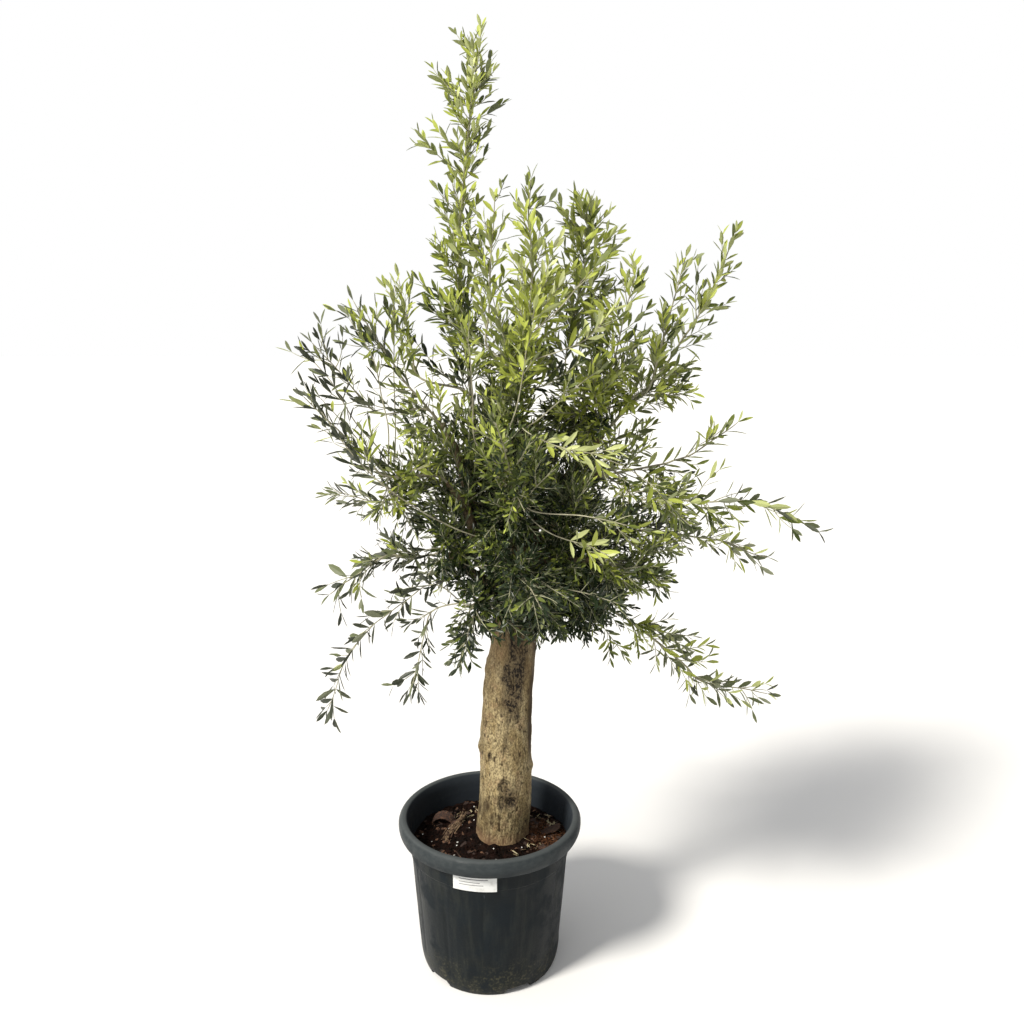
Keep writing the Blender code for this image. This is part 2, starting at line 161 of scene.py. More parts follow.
# %% [markdown]
# ## Surfaces from arrays
# Every piece below is a grid of rings: a profile turned round an axis, or a small ring carried along a
# path. The points come from whole numpy arrays, and one helper turns points and faces into a Blender mesh.
# %% Mesh helper
def add_piece(name, points, face_sets, materials, paint=None, smooth=True):
    """One mesh object: points is (n, 3), face_sets is a list of (m, 3) or (m, 4) arrays of point numbers,
    paint gives each face the number of its material."""
    mesh = bpy.data.meshes.new(name)
    face_sets = [np.asarray(faces, dtype=np.int32) for faces in face_sets]
    corners = np.concatenate([faces.ravel() for faces in face_sets])
    sizes = np.concatenate([np.full(len(faces), faces.shape[1], dtype=np.int32) for faces in face_sets])
    starts = np.concatenate([[0], np.cumsum(sizes)[:-1]]).astype(np.int32)
    mesh.vertices.add(len(points))
    mesh.vertices.foreach_set("co", np.asarray(points, dtype=np.float32).ravel())
    mesh.loops.add(len(corners))
    mesh.loops.foreach_set("vertex_index", corners)
    mesh.polygons.add(len(sizes))
    mesh.polygons.foreach_set("loop_start", starts)
    for material in materials:
        mesh.materials.append(material)
    if paint is not None:
        mesh.polygons.foreach_set("material_index", np.asarray(paint, dtype=np.int32))
    mesh.update(calc_edges=True)
    mesh.validate()
    mesh.polygons.foreach_set("use_smooth", np.full(len(sizes), smooth))
    piece = bpy.data.objects.new(name, mesh)
    bpy.context.scene.collection.objects.link(piece)
    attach(piece, ROOT)
    triangles = int((sizes - 2).sum())
    print(f"{name}: {len(points)} points, {triangles} triangles")
    return piece


# %% Rings, skins and columns of points
def skin(rows, columns):
    """Faces of a closed skin over rows of rings, with a pole point after the rings for each end."""
    i = np.arange(rows - 1)[:, None] * columns
    j = np.arange(columns)[None, :]
    k = (j + 1) % columns
    quads = stacked(i + j, i + k, i + columns + k, i + columns + j).reshape(-1, 4)
    j, k = j.ravel(), k.ravel()
    last = (rows - 1) * columns
    first_fan = np.stack([np.full(columns, rows * columns), k, j], axis=-1)
    last_fan = np.stack([np.full(columns, rows * columns + 1), last + j, last + k], axis=-1)
    return quads, np.concatenate([first_fan, last_fan])


def stacked(*parts):
    """Arrays that broadcast together, as the columns of points."""
    return np.stack(np.broadcast_arrays(*parts), axis=-1)


def round_turns(count):
    """Even angles once round, without the repeat at the end."""
    return np.linspace(0.0, 2 * math.pi, count, endpoint=False)


def unit(vectors):
    """Vectors divided by their own lengths."""
    return vectors / np.linalg.norm(vectors, axis=-1, keepdims=True)


def capped(grid):
    """Points of rows of rings, then the middle of the first ring and of the last, as skin() needs them."""
    return np.concatenate([grid.reshape(-1, 3), [grid[0].mean(axis=0), grid[-1].mean(axis=0)]])


# %% Noise, easing and the points of a solid
def rough(points, size, seed):
    """Smooth random field from -1 to 1: random numbers on a lattice with cells of the given size (one
    number or three), eased between the eight corners of the cell that a point lies in."""
    table = np.random.default_rng(seed).uniform(-1.0, 1.0, 4096)
    scaled = np.asarray(points) / np.asarray(size)
    cell = np.floor(scaled).astype(np.int64)
    share = scaled - cell
    share = share * share * (3.0 - 2.0 * share)
    total = np.zeros(scaled.shape[:-1])
    for corner in itertools.product((0, 1), repeat=3):
        at = cell + np.array(corner)
        pick = (at[..., 0] * 73856093 ^ at[..., 1] * 19349663 ^ at[..., 2] * 83492791) & 4095
        weight = np.prod(np.where(corner, share, 1.0 - share), axis=-1)
        total += weight * table[pick]
    return total


def eased(value, low, high):
    """Smooth step: 0 below low, 1 above high, an S curve between."""
    share = np.clip((value - low) / (high - low), 0.0, 1.0)
    return share * share * (3.0 - 2.0 * share)


def node_points(name):
    """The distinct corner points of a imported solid, sorted."""
    mesh = nodes[name].data
    flat = np.empty(len(mesh.vertices) * 3)
    mesh.vertices.foreach_get("co", flat)
    return np.unique(flat.reshape(-1, 3).round(5), axis=0)


# %% [markdown]
# ## Shared effects
# Weathered plastic, soil and bark all vary in the same few ways: noise that may be stretched upright, a
# change with height, and a soft-edged spot. Each is a node group that puts out a mask, so that one recipe
# serves every finish and only its numbers differ.
# %% Node group helpers
def new_group(name, inputs, output):
    """An empty shader group with named float or vector inputs and one float output."""
    group = bpy.data.node_groups.new(name, "ShaderNodeTree")
    for label, kind, value in inputs:
        socket = group.interface.new_socket(label, in_out="INPUT", socket_type="NodeSocket" + kind)
        if value is not None:
            socket.default_value = value
    group.interface.new_socket(output, in_out="OUTPUT", socket_type="NodeSocketFloat")
    start = group.nodes.new("NodeGroupInput")
    end = group.nodes.new("NodeGroupOutput")
    return group, start.outputs, end.inputs[0]


def smooth_range(tree, value, low, high, dark=0.0, light=1.0):
    """A value eased from dark to light between low and high."""
    node = add_node(tree, "MapRange", {0: value, 1: low, 2: high, 3: dark, 4: light},
                    interpolation_type="SMOOTHSTEP")
    return node.outputs[0]


# %% Grain, height and spot groups
grain_group, given, answer = new_group("stretched_grain", [
    ("Place", "Vector", None), ("Size", "Float", 0.01), ("Stretch", "Float", 1.0), ("Detail", "Float", 4.0),
    ("Low", "Float", 0.4), ("High", "Float", 0.6)], "Mask")
long_size = add_node(grain_group, "Math", {0: given["Size"], 1: given["Stretch"]}, operation="MULTIPLY")
cell_size = add_node(grain_group, "CombineXYZ", {"X": given["Size"], "Y": given["Size"],
                                                 "Z": long_size.outputs[0]})
scaled_place = add_node(grain_group, "VectorMath", {0: given["Place"], 1: cell_size.outputs[0]},
                        operation="DIVIDE")
grain_noise = add_node(grain_group, "TexNoise", {"Vector": scaled_place.outputs[0], "Scale": 1.0,
                                                 "Detail": given["Detail"], "Roughness": 0.6})
grain_mask = smooth_range(grain_group, grain_noise.outputs["Fac"], given["Low"], given["High"])
grain_group.links.new(grain_mask, answer)

height_group, given, answer = new_group("height_change", [
    ("Place", "Vector", None), ("Low", "Float", 0.0), ("High", "Float", 0.1)], "Mask")
split_place = add_node(height_group, "SeparateXYZ", {0: given["Place"]})
height_mask = smooth_range(height_group, split_place.outputs["Z"], given["Low"], given["High"])
height_group.links.new(height_mask, answer)

spot_group, given, answer = new_group("soft_spot", [
    ("Place", "Vector", None), ("Centre", "Vector", None), ("Reach", "Vector", (0.01, 0.01, 0.01)),
    ("Core", "Float", 0.4)], "Mask")
from_centre = add_node(spot_group, "VectorMath", {0: given["Place"], 1: given["Centre"]},
                       operation="SUBTRACT")
in_reaches = add_node(spot_group, "VectorMath", {0: from_centre.outputs[0], 1: given["Reach"]},
                      operation="DIVIDE")
how_far = add_node(spot_group, "VectorMath", {0: in_reaches.outputs[0]}, operation="LENGTH")
spot_mask = smooth_range(spot_group, how_far.outputs["Value"], given["Core"], 1.0, 1.0, 0.0)
spot_group.links.new(spot_mask, answer)


# %% Material helpers
def start_material(name, colour, roughness):
    """A Principled material with its plain values set, its tree and its shader."""
    material = bpy.data.materials.new(name)
    material.use_nodes = True
    tree = material.node_tree
    shader = tree.nodes["Principled BSDF"]
    shader.inputs["Base Color"].default_value = (*colour, 1.0)
    shader.inputs["Roughness"].default_value = roughness
    return material, tree, shader


def mask_from(tree, group, **values):
    """One of the shared groups read at the Object coordinates, with its other inputs given by name."""
    place = tree.nodes.get("Texture Coordinate") or add_node(tree, "TexCoord")
    values["Place"] = place.outputs["Object"]
    return add_node(tree, "Group", values, node_tree=group).outputs["Mask"]


def stored(tree, name):
    """A value that a piece keeps on its points."""
    return add_node(tree, "Attribute", attribute_name=name).outputs["Fac"]


# %% Colour and relief helpers
def blend_colour(tree, mask, below, above):
    """Colour below where the mask is 0 and above where it is 1; each is a socket or three numbers."""
    below, above = (c if isinstance(c, bpy.types.NodeSocket) else (*c, 1.0) for c in (below, above))
    return add_node(tree, "Mix", {0: mask, 6: below, 7: above}, data_type="RGBA").outputs[2]


def scaled(tree, mask, factor):
    """A mask times a number, or times another mask where only the overlap counts."""
    return add_node(tree, "Math", {0: mask, 1: factor}, operation="MULTIPLY").outputs[0]


def add_relief(tree, shader, layers):
    """Chain bump nodes into the shader's normal; layers are (height socket, strength, depth in metres)."""
    normal = None
    for height, strength, depth in layers:
        inputs = {"Height": height, "Strength": strength, "Distance": depth}
        if normal is not None:
            inputs["Normal"] = normal
        normal = add_node(tree, "Bump", inputs).outputs["Normal"]
    tree.links.new(normal, shader.inputs["Normal"])


# %% [markdown]
# ## The pot
# The real pot is blow-moulded plastic: a thick rolled collar, a plain band under it, twelve shallow panels
# down the side and a foot scalloped by drainage notches. It could be a spun curve with cutters, but one
# grid of radius and height over profile row and turn gives the panels and notches as small formulas on top
# of the turned shape.
# %% Pot sizes
pot_low, pot_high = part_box("pot")
RIM_RADIUS = (pot_high[0] - pot_low[0]) / 2
POT_HEIGHT = pot_high[2]
COLLAR_HEIGHT = 0.045
BAND_HEIGHT = 0.044
BODY_TOP_RADIUS = 0.1935
BODY_FOOT_RADIUS = 0.1725
BASE_RADIUS = 0.164
RIM_INNER_RADIUS = 0.204
FLOOR_TOP = 0.018
FLOOR_INNER_RADIUS = 0.163
INNER_TOP_RADIUS = 0.1988
collar_bottom = POT_HEIGHT - COLLAR_HEIGHT
band_bottom = collar_bottom - BAND_HEIGHT


# %% Profile helpers
def add_values(piece, name, values):
    """Store one number per point on a piece, for its material to read."""
    layer = piece.data.attributes.new(name, "FLOAT", "POINT")
    layer.data.foreach_set("value", np.asarray(values, dtype=np.float32).ravel())


def rounded_profile(corners, steps=5, spacing=0.004):
    """A profile through (radius, height, rounding) corners: each corner becomes a parabola that starts and
    ends its rounding away from it, and straight runs are cut to the spacing."""
    path = np.array([corner[:2] for corner in corners])
    points = [path[:1]]
    for before, here, after, reach in zip(path, path[1:], path[2:], [corner[2] for corner in corners[1:]]):
        back, ahead = before - here, after - here
        cut_back = here + back * min(0.45, reach / np.linalg.norm(back))
        cut_ahead = here + ahead * min(0.45, reach / np.linalg.norm(ahead))
        t = np.linspace(0.0, 1.0, steps)[:, None]
        points.append((1 - t) ** 2 * cut_back + 2 * t * (1 - t) * here + t ** 2 * cut_ahead)
    points = np.concatenate(points + [path[-1:]])
    runs = np.linalg.norm(np.diff(points, axis=0), axis=1)
    pieces = np.maximum(1, np.ceil(runs / spacing)).astype(int)
    cut = [start + np.linspace(0.0, 1.0, n, endpoint=False)[:, None] * (end - start)
           for start, end, n in zip(points, points[1:], pieces)]
    return np.concatenate(cut + [points[-1:]])


# %% Pot profile
pot_profile = rounded_profile([
    (0.004, 0.0, 0.0),
    (BASE_RADIUS - 0.001, 0.0, 0.003),
    (BASE_RADIUS + 0.0025, 0.008, 0.004),
    (BASE_RADIUS + 0.0055, 0.017, 0.008),
    (BODY_FOOT_RADIUS, 0.034, 0.020),
    (BODY_TOP_RADIUS, band_bottom, 0.001),
    (BODY_TOP_RADIUS + 0.0018, band_bottom + 0.0015, 0.001),
    (BODY_TOP_RADIUS + 0.0035, collar_bottom, 0.001),
    (RIM_RADIUS - 0.009, collar_bottom + 0.001, 0.004),
    (RIM_RADIUS - 0.001, collar_bottom + 0.016, 0.010),
    (RIM_RADIUS - 0.0005, POT_HEIGHT - 0.010, 0.008),
    (RIM_RADIUS - 0.008, POT_HEIGHT, 0.006),
    (RIM_INNER_RADIUS + 0.001, POT_HEIGHT - 0.001, 0.004),
    (INNER_TOP_RADIUS, POT_HEIGHT - 0.016, 0.008),
    (FLOOR_INNER_RADIUS, FLOOR_TOP, 0.004),
    (0.004, FLOOR_TOP, 0.0)])
rim_row = int(np.argmax(pot_profile[:, 1]))
print("pot profile rows:", len(pot_profile), "rim radius", round(RIM_RADIUS, 4))

# %% Pot panels and notches
POT_COLUMNS = 288
PANELS = 12
PANEL_TURN = math.radians(-3)
PANEL_GROOVE = 0.0013
PANEL_FLAT = 0.0010
NOTCHES = 5
NOTCH_TURN = math.radians(7)
NOTCH_HEIGHT = 0.016
NOTCH_HALF_SPAN = math.radians(11.5)
NOTCH_DEPTH = 0.050
DENT_DEPTH = 0.0010


def turn_to_nearest(turn, count, first):
    """How far each turn is, in radians, from the nearest of count marks spread evenly from the first."""
    pitch = 2 * math.pi / count
    return np.abs((turn - first + pitch / 2) % pitch - pitch / 2)


# %% Pot surface
turn = round_turns(POT_COLUMNS)[None, :]
radius = np.repeat(pot_profile[:, :1], POT_COLUMNS, axis=1)
height = np.repeat(pot_profile[:, 1:], POT_COLUMNS, axis=1)
outside = (np.arange(len(pot_profile)) < rim_row)[:, None]
below_band = 1 - eased(height, band_bottom - 0.014, band_bottom - 0.004)
on_side = outside * eased(height, 0.040, 0.070) * below_band
panel_edge = turn_to_nearest(turn, PANELS, PANEL_TURN)
radius = radius - on_side * PANEL_GROOVE * np.exp(-(panel_edge / 0.020) ** 2)
radius = radius - on_side * PANEL_FLAT * np.cos(PANELS / 2 * (turn - PANEL_TURN)) ** 2
from_notch = turn_to_nearest(turn, NOTCHES, NOTCH_TURN) / NOTCH_HALF_SPAN
lift = NOTCH_HEIGHT * (1 - eased(from_notch, 0.85, 1.05))
lift = lift * eased(radius, BASE_RADIUS - NOTCH_DEPTH, BASE_RADIUS - NOTCH_DEPTH + 0.008)
height = np.where(outside, np.maximum(height, lift), height)
pot_grid = stacked(radius * np.cos(turn), radius * np.sin(turn), height)
dents = DENT_DEPTH * rough(pot_grid, 0.09, 1) * outside * eased(height, 0.02, 0.06)
pot_grid[..., :2] *= (1 + dents / 0.19)[..., None]
pot_points = np.concatenate([pot_grid.reshape(-1, 3), [[0, 0, 0], [0, 0, FLOOR_TOP]]])
pot_faces = skin(len(pot_profile), POT_COLUMNS)
inner_wall = (1 - outside) * eased(POT_HEIGHT - height, 0.001, 0.004)


# %% [markdown]
# Its plastic is nearly black with a blue cast, dulled by dust. Dust lies in upright streaks, the collar and
# its lip are scuffed paler and worn in patches, the top of the lip carries a painted highlight, and splashed
# grit stains the foot. Inside, the wall is painted an even blue-black, lighter than the outside, as painted
# fill light in the pot's own shade, so the points carry a value that says which side of the wall they are on.
# The other masks are the shared groups at different sizes.
# %% Pot plastic
pot_plastic, tree, shader = start_material("dusty_charcoal_plastic", (0.022, 0.026, 0.027), 0.45)
streaks = mask_from(tree, grain_group, Size=0.018, Stretch=9.0, Detail=5.0, Low=0.44, High=0.70)
blotches = mask_from(tree, grain_group, Size=0.055, Stretch=1.3, Detail=6.0, Low=0.42, High=0.66)
grit = mask_from(tree, grain_group, Size=0.006, Detail=4.0, Low=0.50, High=0.62)
near_foot = mask_from(tree, height_group, Low=0.120, High=0.005)
near_rim = mask_from(tree, height_group, Low=collar_bottom - 0.002, High=collar_bottom + 0.002)
scuffed = mask_from(tree, height_group, Low=collar_bottom + 0.010, High=collar_bottom + 0.030)
painted_lip_highlight = mask_from(tree, height_group, Low=POT_HEIGHT - 0.006, High=POT_HEIGHT - 0.001)
worn = mask_from(tree, grain_group, Size=0.016, Stretch=0.6, Detail=8.0, Low=0.36, High=0.64)
colour = blend_colour(tree, scaled(tree, streaks, 0.55), (0.0055, 0.0080, 0.0095), (0.021, 0.024, 0.021))
colour = blend_colour(tree, scaled(tree, blotches, 0.40), colour, (0.008, 0.013, 0.018))
colour = blend_colour(tree, scaled(tree, near_rim, 0.50), colour, (0.036, 0.043, 0.046))
colour = blend_colour(tree, scaled(tree, scuffed, 0.35), colour, (0.044, 0.052, 0.055))
colour = blend_colour(tree, scaled(tree, scaled(tree, scuffed, worn), 0.60), colour, (0.048, 0.055, 0.057))
# Painted highlight: a paler band along the top six millimetres of the lip.
colour = blend_colour(tree, scaled(tree, painted_lip_highlight, 0.55), colour, (0.088, 0.097, 0.099))
# Painted fill light: the inner wall is given a lighter, bluer black than the outside so that it does not sink
# into the pot's shade.
inner_mask = stored(tree, "inner_wall")
colour = blend_colour(tree, scaled(tree, inner_mask, 0.85), colour, (0.026, 0.032, 0.040))
splashes = mask_from(tree, grain_group, Size=0.03, Detail=7.0, Low=0.38, High=0.62)
stain = scaled(tree, near_foot, splashes)
colour = blend_colour(tree, scaled(tree, stain, 0.50), colour, (0.026, 0.026, 0.017))
colour = blend_colour(tree, scaled(tree, stain, grit), colour, (0.060, 0.056, 0.036))
tree.links.new(colour, shader.inputs["Base Color"])
tree.links.new(smooth_range(tree, blotches, 0.0, 1.0, 0.42, 0.64), shader.inputs["Roughness"])
shader.inputs["Specular IOR Level"].default_value = 0.12
add_relief(tree, shader, [(blotches, 0.25, 0.0008), (grit, 0.25, 0.0004)])

pot = add_piece("pot_shell", pot_points, pot_faces, [pot_plastic])
add_values(pot, "inner_wall", np.append(inner_wall.ravel(), [0, 1]))
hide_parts("pot")


# %% [markdown]
# ## The label
# A sticker sits on the plain band. It is kept generic: white paper with a few plain grey rules and no
# lettering. It bends round the band as a grid over turn and height, a shell with a front, a back and edges.
# %% Label
label_low, label_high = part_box("label")
label_columns, label_rows = 40, 8
LABEL_THICKNESS = 0.0006
label_points = node_points("label")
label_turns = np.arctan2(label_points[:, 1], label_points[:, 0])
LABEL_RADIUS = float(np.hypot(label_points[:, 0], label_points[:, 1]).min()) + 0.0002


def bent_patch(name, turn_from, turn_to, low, high, radius, thickness, material):
    """A closed thin plate wrapped on a cylinder: rings of its outline, front face then back, along the
    turn."""
    turns = np.linspace(turn_from, turn_to, label_columns)[:, None]
    rows = np.linspace(low, high, label_rows)
    loop_heights = np.concatenate([rows, rows[::-1]])[None, :]
    loop_radius = np.repeat([radius + thickness, radius], label_rows)[None, :]
    grid = stacked(loop_radius * np.cos(turns), loop_radius * np.sin(turns), loop_heights)
    faces = skin(label_columns, 2 * label_rows)
    return add_piece(name, capped(grid), faces, [material], smooth=False)


PAPER_WHITE, PAPER_SOILED = (0.66, 0.67, 0.66), (0.42, 0.42, 0.40)
paper, tree, shader = start_material("label_paper", PAPER_WHITE, 0.5)
smudge = mask_from(tree, grain_group, Size=0.012, Detail=5.0, Low=0.48, High=0.75)
paper_colour = blend_colour(tree, scaled(tree, smudge, 0.5), PAPER_WHITE, PAPER_SOILED)
tree.links.new(paper_colour, shader.inputs["Base Color"])
ink, _, _ = start_material("label_rule", (0.16, 0.16, 0.17), 0.6)

label = bent_patch("label_sheet", label_turns.min(), label_turns.max(), label_low[2], label_high[2],
                   LABEL_RADIUS, LABEL_THICKNESS, paper)
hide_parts("label")

# %% Label rules
# Each rule: where it starts and ends across the label, its level up the label, and its height in metres.
RULES = [(0.14, 0.80, 0.70, 0.0022), (0.14, 0.62, 0.52, 0.0016), (0.14, 0.70, 0.36, 0.0016)]
INK_THICKNESS = 0.0001
label_start, label_span = label_turns.min(), label_turns.max() - label_turns.min()
for rule, (start, end, level, thick) in enumerate(RULES):
    low = label_low[2] + level * (label_high[2] - label_low[2])
    bent_patch(f"label_rule_{rule + 1}", label_start + start * label_span, label_start + end * label_span,
               low, low + thick, LABEL_RADIUS + LABEL_THICKNESS, INK_THICKNESS, ink)


# %% [markdown]
# ## The compost
# Damp potting compost is a dark crumbly bed with chips lying in it. The bed is a polar grid lifted by noise
# of three sizes. Crumbs, chips, dry leaves, perlite and loose bark fibres are small shapes of a few faces,
# each kind joined into one piece, scattered on the bed by a seeded draw. Four curled pieces of bark are laid
# one by one.
# %% Compost bed
_, soil_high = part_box("soil")
SOIL_TOP = soil_high[2] - 0.006
SOIL_BOTTOM = FLOOR_TOP + 0.0002
SOIL_COLUMNS = 240
SOIL_ROWS = 96
wall_slope = (INNER_TOP_RADIUS - FLOOR_INNER_RADIUS) / (POT_HEIGHT - 0.016 - FLOOR_TOP)
SOIL_RADIUS = FLOOR_INNER_RADIUS + wall_slope * (SOIL_TOP - FLOOR_TOP) + 0.0004
trunk_points = node_points("trunk")
foot = trunk_points[trunk_points[:, 2] < trunk_points[:, 2].min() + 0.002]
FOOT_MIDDLE = foot[:, :2].mean(axis=0)
FOOT_RADIUS = float(np.linalg.norm(foot[:, :2] - FOOT_MIDDLE, axis=1).mean())


def soil_height(x, y):
    """Level of the bed: a low bell-shaped mound round the trunk's foot, plus lumps of three sizes."""
    flat = stacked(x, y, np.zeros_like(x))
    from_foot = np.hypot(x - FOOT_MIDDLE[0], y - FOOT_MIDDLE[1]) - FOOT_RADIUS
    lumps = 0.0042 * rough(flat, 0.034, 2) + 0.0026 * rough(flat, 0.013, 3) + 0.0013 * rough(flat, 0.0055, 4)
    return SOIL_TOP - 0.003 + 0.024 * np.exp(-(np.maximum(from_foot, 0.0) / 0.045) ** 2) + lumps


# %% Compost surface
soil_turn = round_turns(SOIL_COLUMNS)[None, :]
top_radius = SOIL_RADIUS * np.linspace(1.0, 0.0, SOIL_ROWS, endpoint=False)[:, None] ** 0.8
top_x, top_y = top_radius * np.cos(soil_turn), top_radius * np.sin(soil_turn)
top_ring = stacked(top_x, top_y, soil_height(top_x, top_y))
under_radius = np.array([0.01, 0.08, FLOOR_INNER_RADIUS - 0.004, SOIL_RADIUS - 0.012])[:, None]
under_height = np.array([SOIL_BOTTOM, SOIL_BOTTOM, SOIL_BOTTOM, SOIL_TOP - 0.08])[:, None]
under_ring = stacked(under_radius * np.cos(soil_turn), under_radius * np.sin(soil_turn), under_height)
soil_grid = np.concatenate([under_ring, top_ring])
soil_points = np.concatenate([soil_grid.reshape(-1, 3), [[0, 0, SOIL_BOTTOM], [0, 0, SOIL_TOP]]])

# %% Compost material
compost, tree, shader = start_material("damp_compost", (0.02, 0.012, 0.008), 0.85)
shader.inputs["Specular IOR Level"].default_value = 0.08
crumb_mask = mask_from(tree, grain_group, Size=0.0045, Detail=6.0, Low=0.38, High=0.68)
clod_mask = mask_from(tree, grain_group, Size=0.022, Detail=4.0, Low=0.42, High=0.62)
bark_spots = mask_from(tree, spot_group, Centre=(0.135, 0.0, SOIL_TOP), Reach=(0.075, 0.11, 0.05), Core=0.35)
colour = blend_colour(tree, crumb_mask, (0.0014, 0.0009, 0.0008), (0.0135, 0.0067, 0.0042))
colour = blend_colour(tree, scaled(tree, clod_mask, 0.5), colour, (0.020, 0.0072, 0.0045))
colour = blend_colour(tree, scaled(tree, bark_spots, crumb_mask), colour, (0.18, 0.078, 0.036))
tree.links.new(colour, shader.inputs["Base Color"])
tree.links.new(smooth_range(tree, crumb_mask, 0.0, 1.0, 0.55, 0.95), shader.inputs["Roughness"])
add_relief(tree, shader, [(crumb_mask, 0.8, 0.002)])
soil = add_piece("soil_bed", soil_points, skin(len(soil_grid), SOIL_COLUMNS), [compost])
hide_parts("soil")


# %% [markdown]
# A small solid is copied many times in one go: its few points are multiplied by an array of frames, one
# turned and stretched frame for each copy. Every copy's points are also jogged at random so that no two are
# alike.
# %% Scattering helpers
def spread_frames(tilt_limit, count, draw):
    """Random frames whose third axis leans up to tilt_limit from upright and whose first points
    anywhere."""
    lean = draw.uniform(0.0, tilt_limit, count)
    side = draw.uniform(0.0, 2 * math.pi, count)
    up = stacked(np.sin(lean) * np.cos(side), np.sin(lean) * np.sin(side), np.cos(lean))
    heading = draw.uniform(0.0, 2 * math.pi, count)
    first = stacked(np.cos(heading), np.sin(heading), np.zeros(count))
    first = unit(first - up * (first * up).sum(axis=1, keepdims=True))
    return np.stack([first, np.cross(up, first), up], axis=1)


def copy_shape(shape, faces, places, frames, sizes, jog, draw):
    """Copies of a shape: each point is jogged, scaled by the copy's three sizes, turned by its frame and
    placed. Returns all the points and the face arrays renumbered copy by copy."""
    count = len(places)
    points = shape[None] * (1.0 + jog * draw.uniform(-1.0, 1.0, (count, *shape.shape)))
    points = np.einsum("nkj,njc->nkc", points * sizes[:, None, :], frames) + places[:, None, :]
    step = np.arange(count)[:, None, None] * len(shape)
    return points.reshape(-1, 3), [(np.asarray(f)[None] + step).reshape(-1, f.shape[1]) for f in faces]


def pebble(rows, columns):
    """A unit ball as rings of points and two poles, with faces."""
    rise = np.linspace(-1.0, 1.0, rows + 2)[1:-1, None] * math.pi / 2
    turn = round_turns(columns)[None, :]
    ring = stacked(np.cos(rise) * np.cos(turn), np.cos(rise) * np.sin(turn), np.sin(rise))
    return np.concatenate([ring.reshape(-1, 3), [[0, 0, -1], [0, 0, 1]]]), skin(rows, columns)


# %% Places, sizes and materials of small things
def places_on_soil(count, draw):
    """Seeded places on the bed, even by area, between the trunk's foot and the pot wall."""
    spot = draw.uniform(-1.0, 1.0, (count * 3, 2)) * (SOIL_RADIUS - 0.006)
    gap = np.linalg.norm(spot - FOOT_MIDDLE, axis=1) - FOOT_RADIUS
    spot = spot[(np.linalg.norm(spot, axis=1) < SOIL_RADIUS - 0.007) & (gap > 0.006)][:count]
    return np.column_stack([spot, soil_height(spot[:, 0], spot[:, 1])])


def half_sizes(count, draw, *limits):
    """Random half sizes of each copy: one column for each (least, most)."""
    return stacked(*[draw.uniform(least, most, count) for least, most in limits])


def scatter(name, places, sizes, frames, jog, material):
    """Small stones of the given half sizes as one piece."""
    points, faces = copy_shape(stone, stone_faces, places, frames, sizes, jog, draw)
    return add_piece(name, points, faces, [material], smooth=False)


def two_tone(name, roughness, dark, pale, size, detail=4.0, low=0.40, high=0.60):
    """A material that varies from dark to pale in patches: returns it, its tree, its shader and the
    colour."""
    material, tree, shader = start_material(name, pale, roughness)
    mask = mask_from(tree, grain_group, Size=size, Detail=detail, Low=low, High=high)
    colour = blend_colour(tree, mask, dark, pale)
    tree.links.new(colour, shader.inputs["Base Color"])
    return material, tree, shader, colour


# %% Crumbs
draw = np.random.default_rng(11)
stone, stone_faces = pebble(3, 6)
places = places_on_soil(1500, draw)
sizes = draw.uniform(0.0015, 0.0042, (len(places), 1)) * draw.uniform(0.6, 1.3, (len(places), 3))
scatter("soil_crumbs", places, sizes, spread_frames(1.2, len(places), draw), 0.3, compost)

# %% Bark chips
# They lie thicker on the right, and their tint changes from place to place.
bark_chip, tree, shader, chip_tint = two_tone("bark_chip", 0.8, (0.030, 0.012, 0.007),
                                              (0.25, 0.120, 0.058), 0.03, detail=1.0, low=0.42)
chip_grain = mask_from(tree, grain_group, Size=0.003, Detail=5.0, Low=0.35, High=0.7)
tree.links.new(blend_colour(tree, chip_grain, (0.020, 0.010, 0.007), chip_tint), shader.inputs["Base Color"])
add_relief(tree, shader, [(chip_grain, 0.6, 0.0008)])
places = places_on_soil(420, draw)
places = places[draw.uniform(0, 1, len(places)) < np.where(places[:, 0] > 0.06, 1.0, 0.45)]
sizes = half_sizes(len(places), draw, (0.004, 0.012), (0.0025, 0.006), (0.0008, 0.002))
scatter("soil_chips", places, sizes, spread_frames(0.7, len(places), draw), 0.25, bark_chip)

# %% Dry leaves
# They gather round a few centres: each place is kept with a chance that falls off as a bell from the
# nearest one.
LITTER_CENTRES = np.array([(-0.055, 0.105), (-0.030, 0.145), (0.125, 0.110), (0.165, 0.050), (0.105, -0.070),
                           (0.050, -0.110)])
LITTER_SPREAD = 0.036
dry_leaf, _, _, _ = two_tone("dry_leaf", 0.6, (0.17, 0.12, 0.06), (0.46, 0.40, 0.25), 0.012,
                             detail=2.0, low=0.42)
places = places_on_soil(900, draw)
gap = np.linalg.norm(places[:, None, :2] - LITTER_CENTRES[None], axis=-1).min(axis=1)
places = places[draw.uniform(0, 1, len(places)) < 0.55 * np.exp(-(gap / LITTER_SPREAD) ** 2)]
sizes = half_sizes(len(places), draw, (0.006, 0.014), (0.0008, 0.0022), (0.0003, 0.0007))
places[:, 2] += 0.0025
scatter("soil_dry_leaves", places, sizes, spread_frames(0.6, len(places), draw), 0.15, dry_leaf)

# %% Perlite
perlite, _, _, _ = two_tone("perlite", 0.7, (0.55, 0.54, 0.50), (0.82, 0.82, 0.80), 0.0012, detail=3.0)
places = places_on_soil(42, draw)
sizes = draw.uniform(0.0012, 0.0032, (len(places), 3))
scatter("soil_perlite", places, sizes, spread_frames(1.5, len(places), draw), 0.2, perlite)


# %% Curled bark pieces
SLAB_THICKNESS = 0.0026


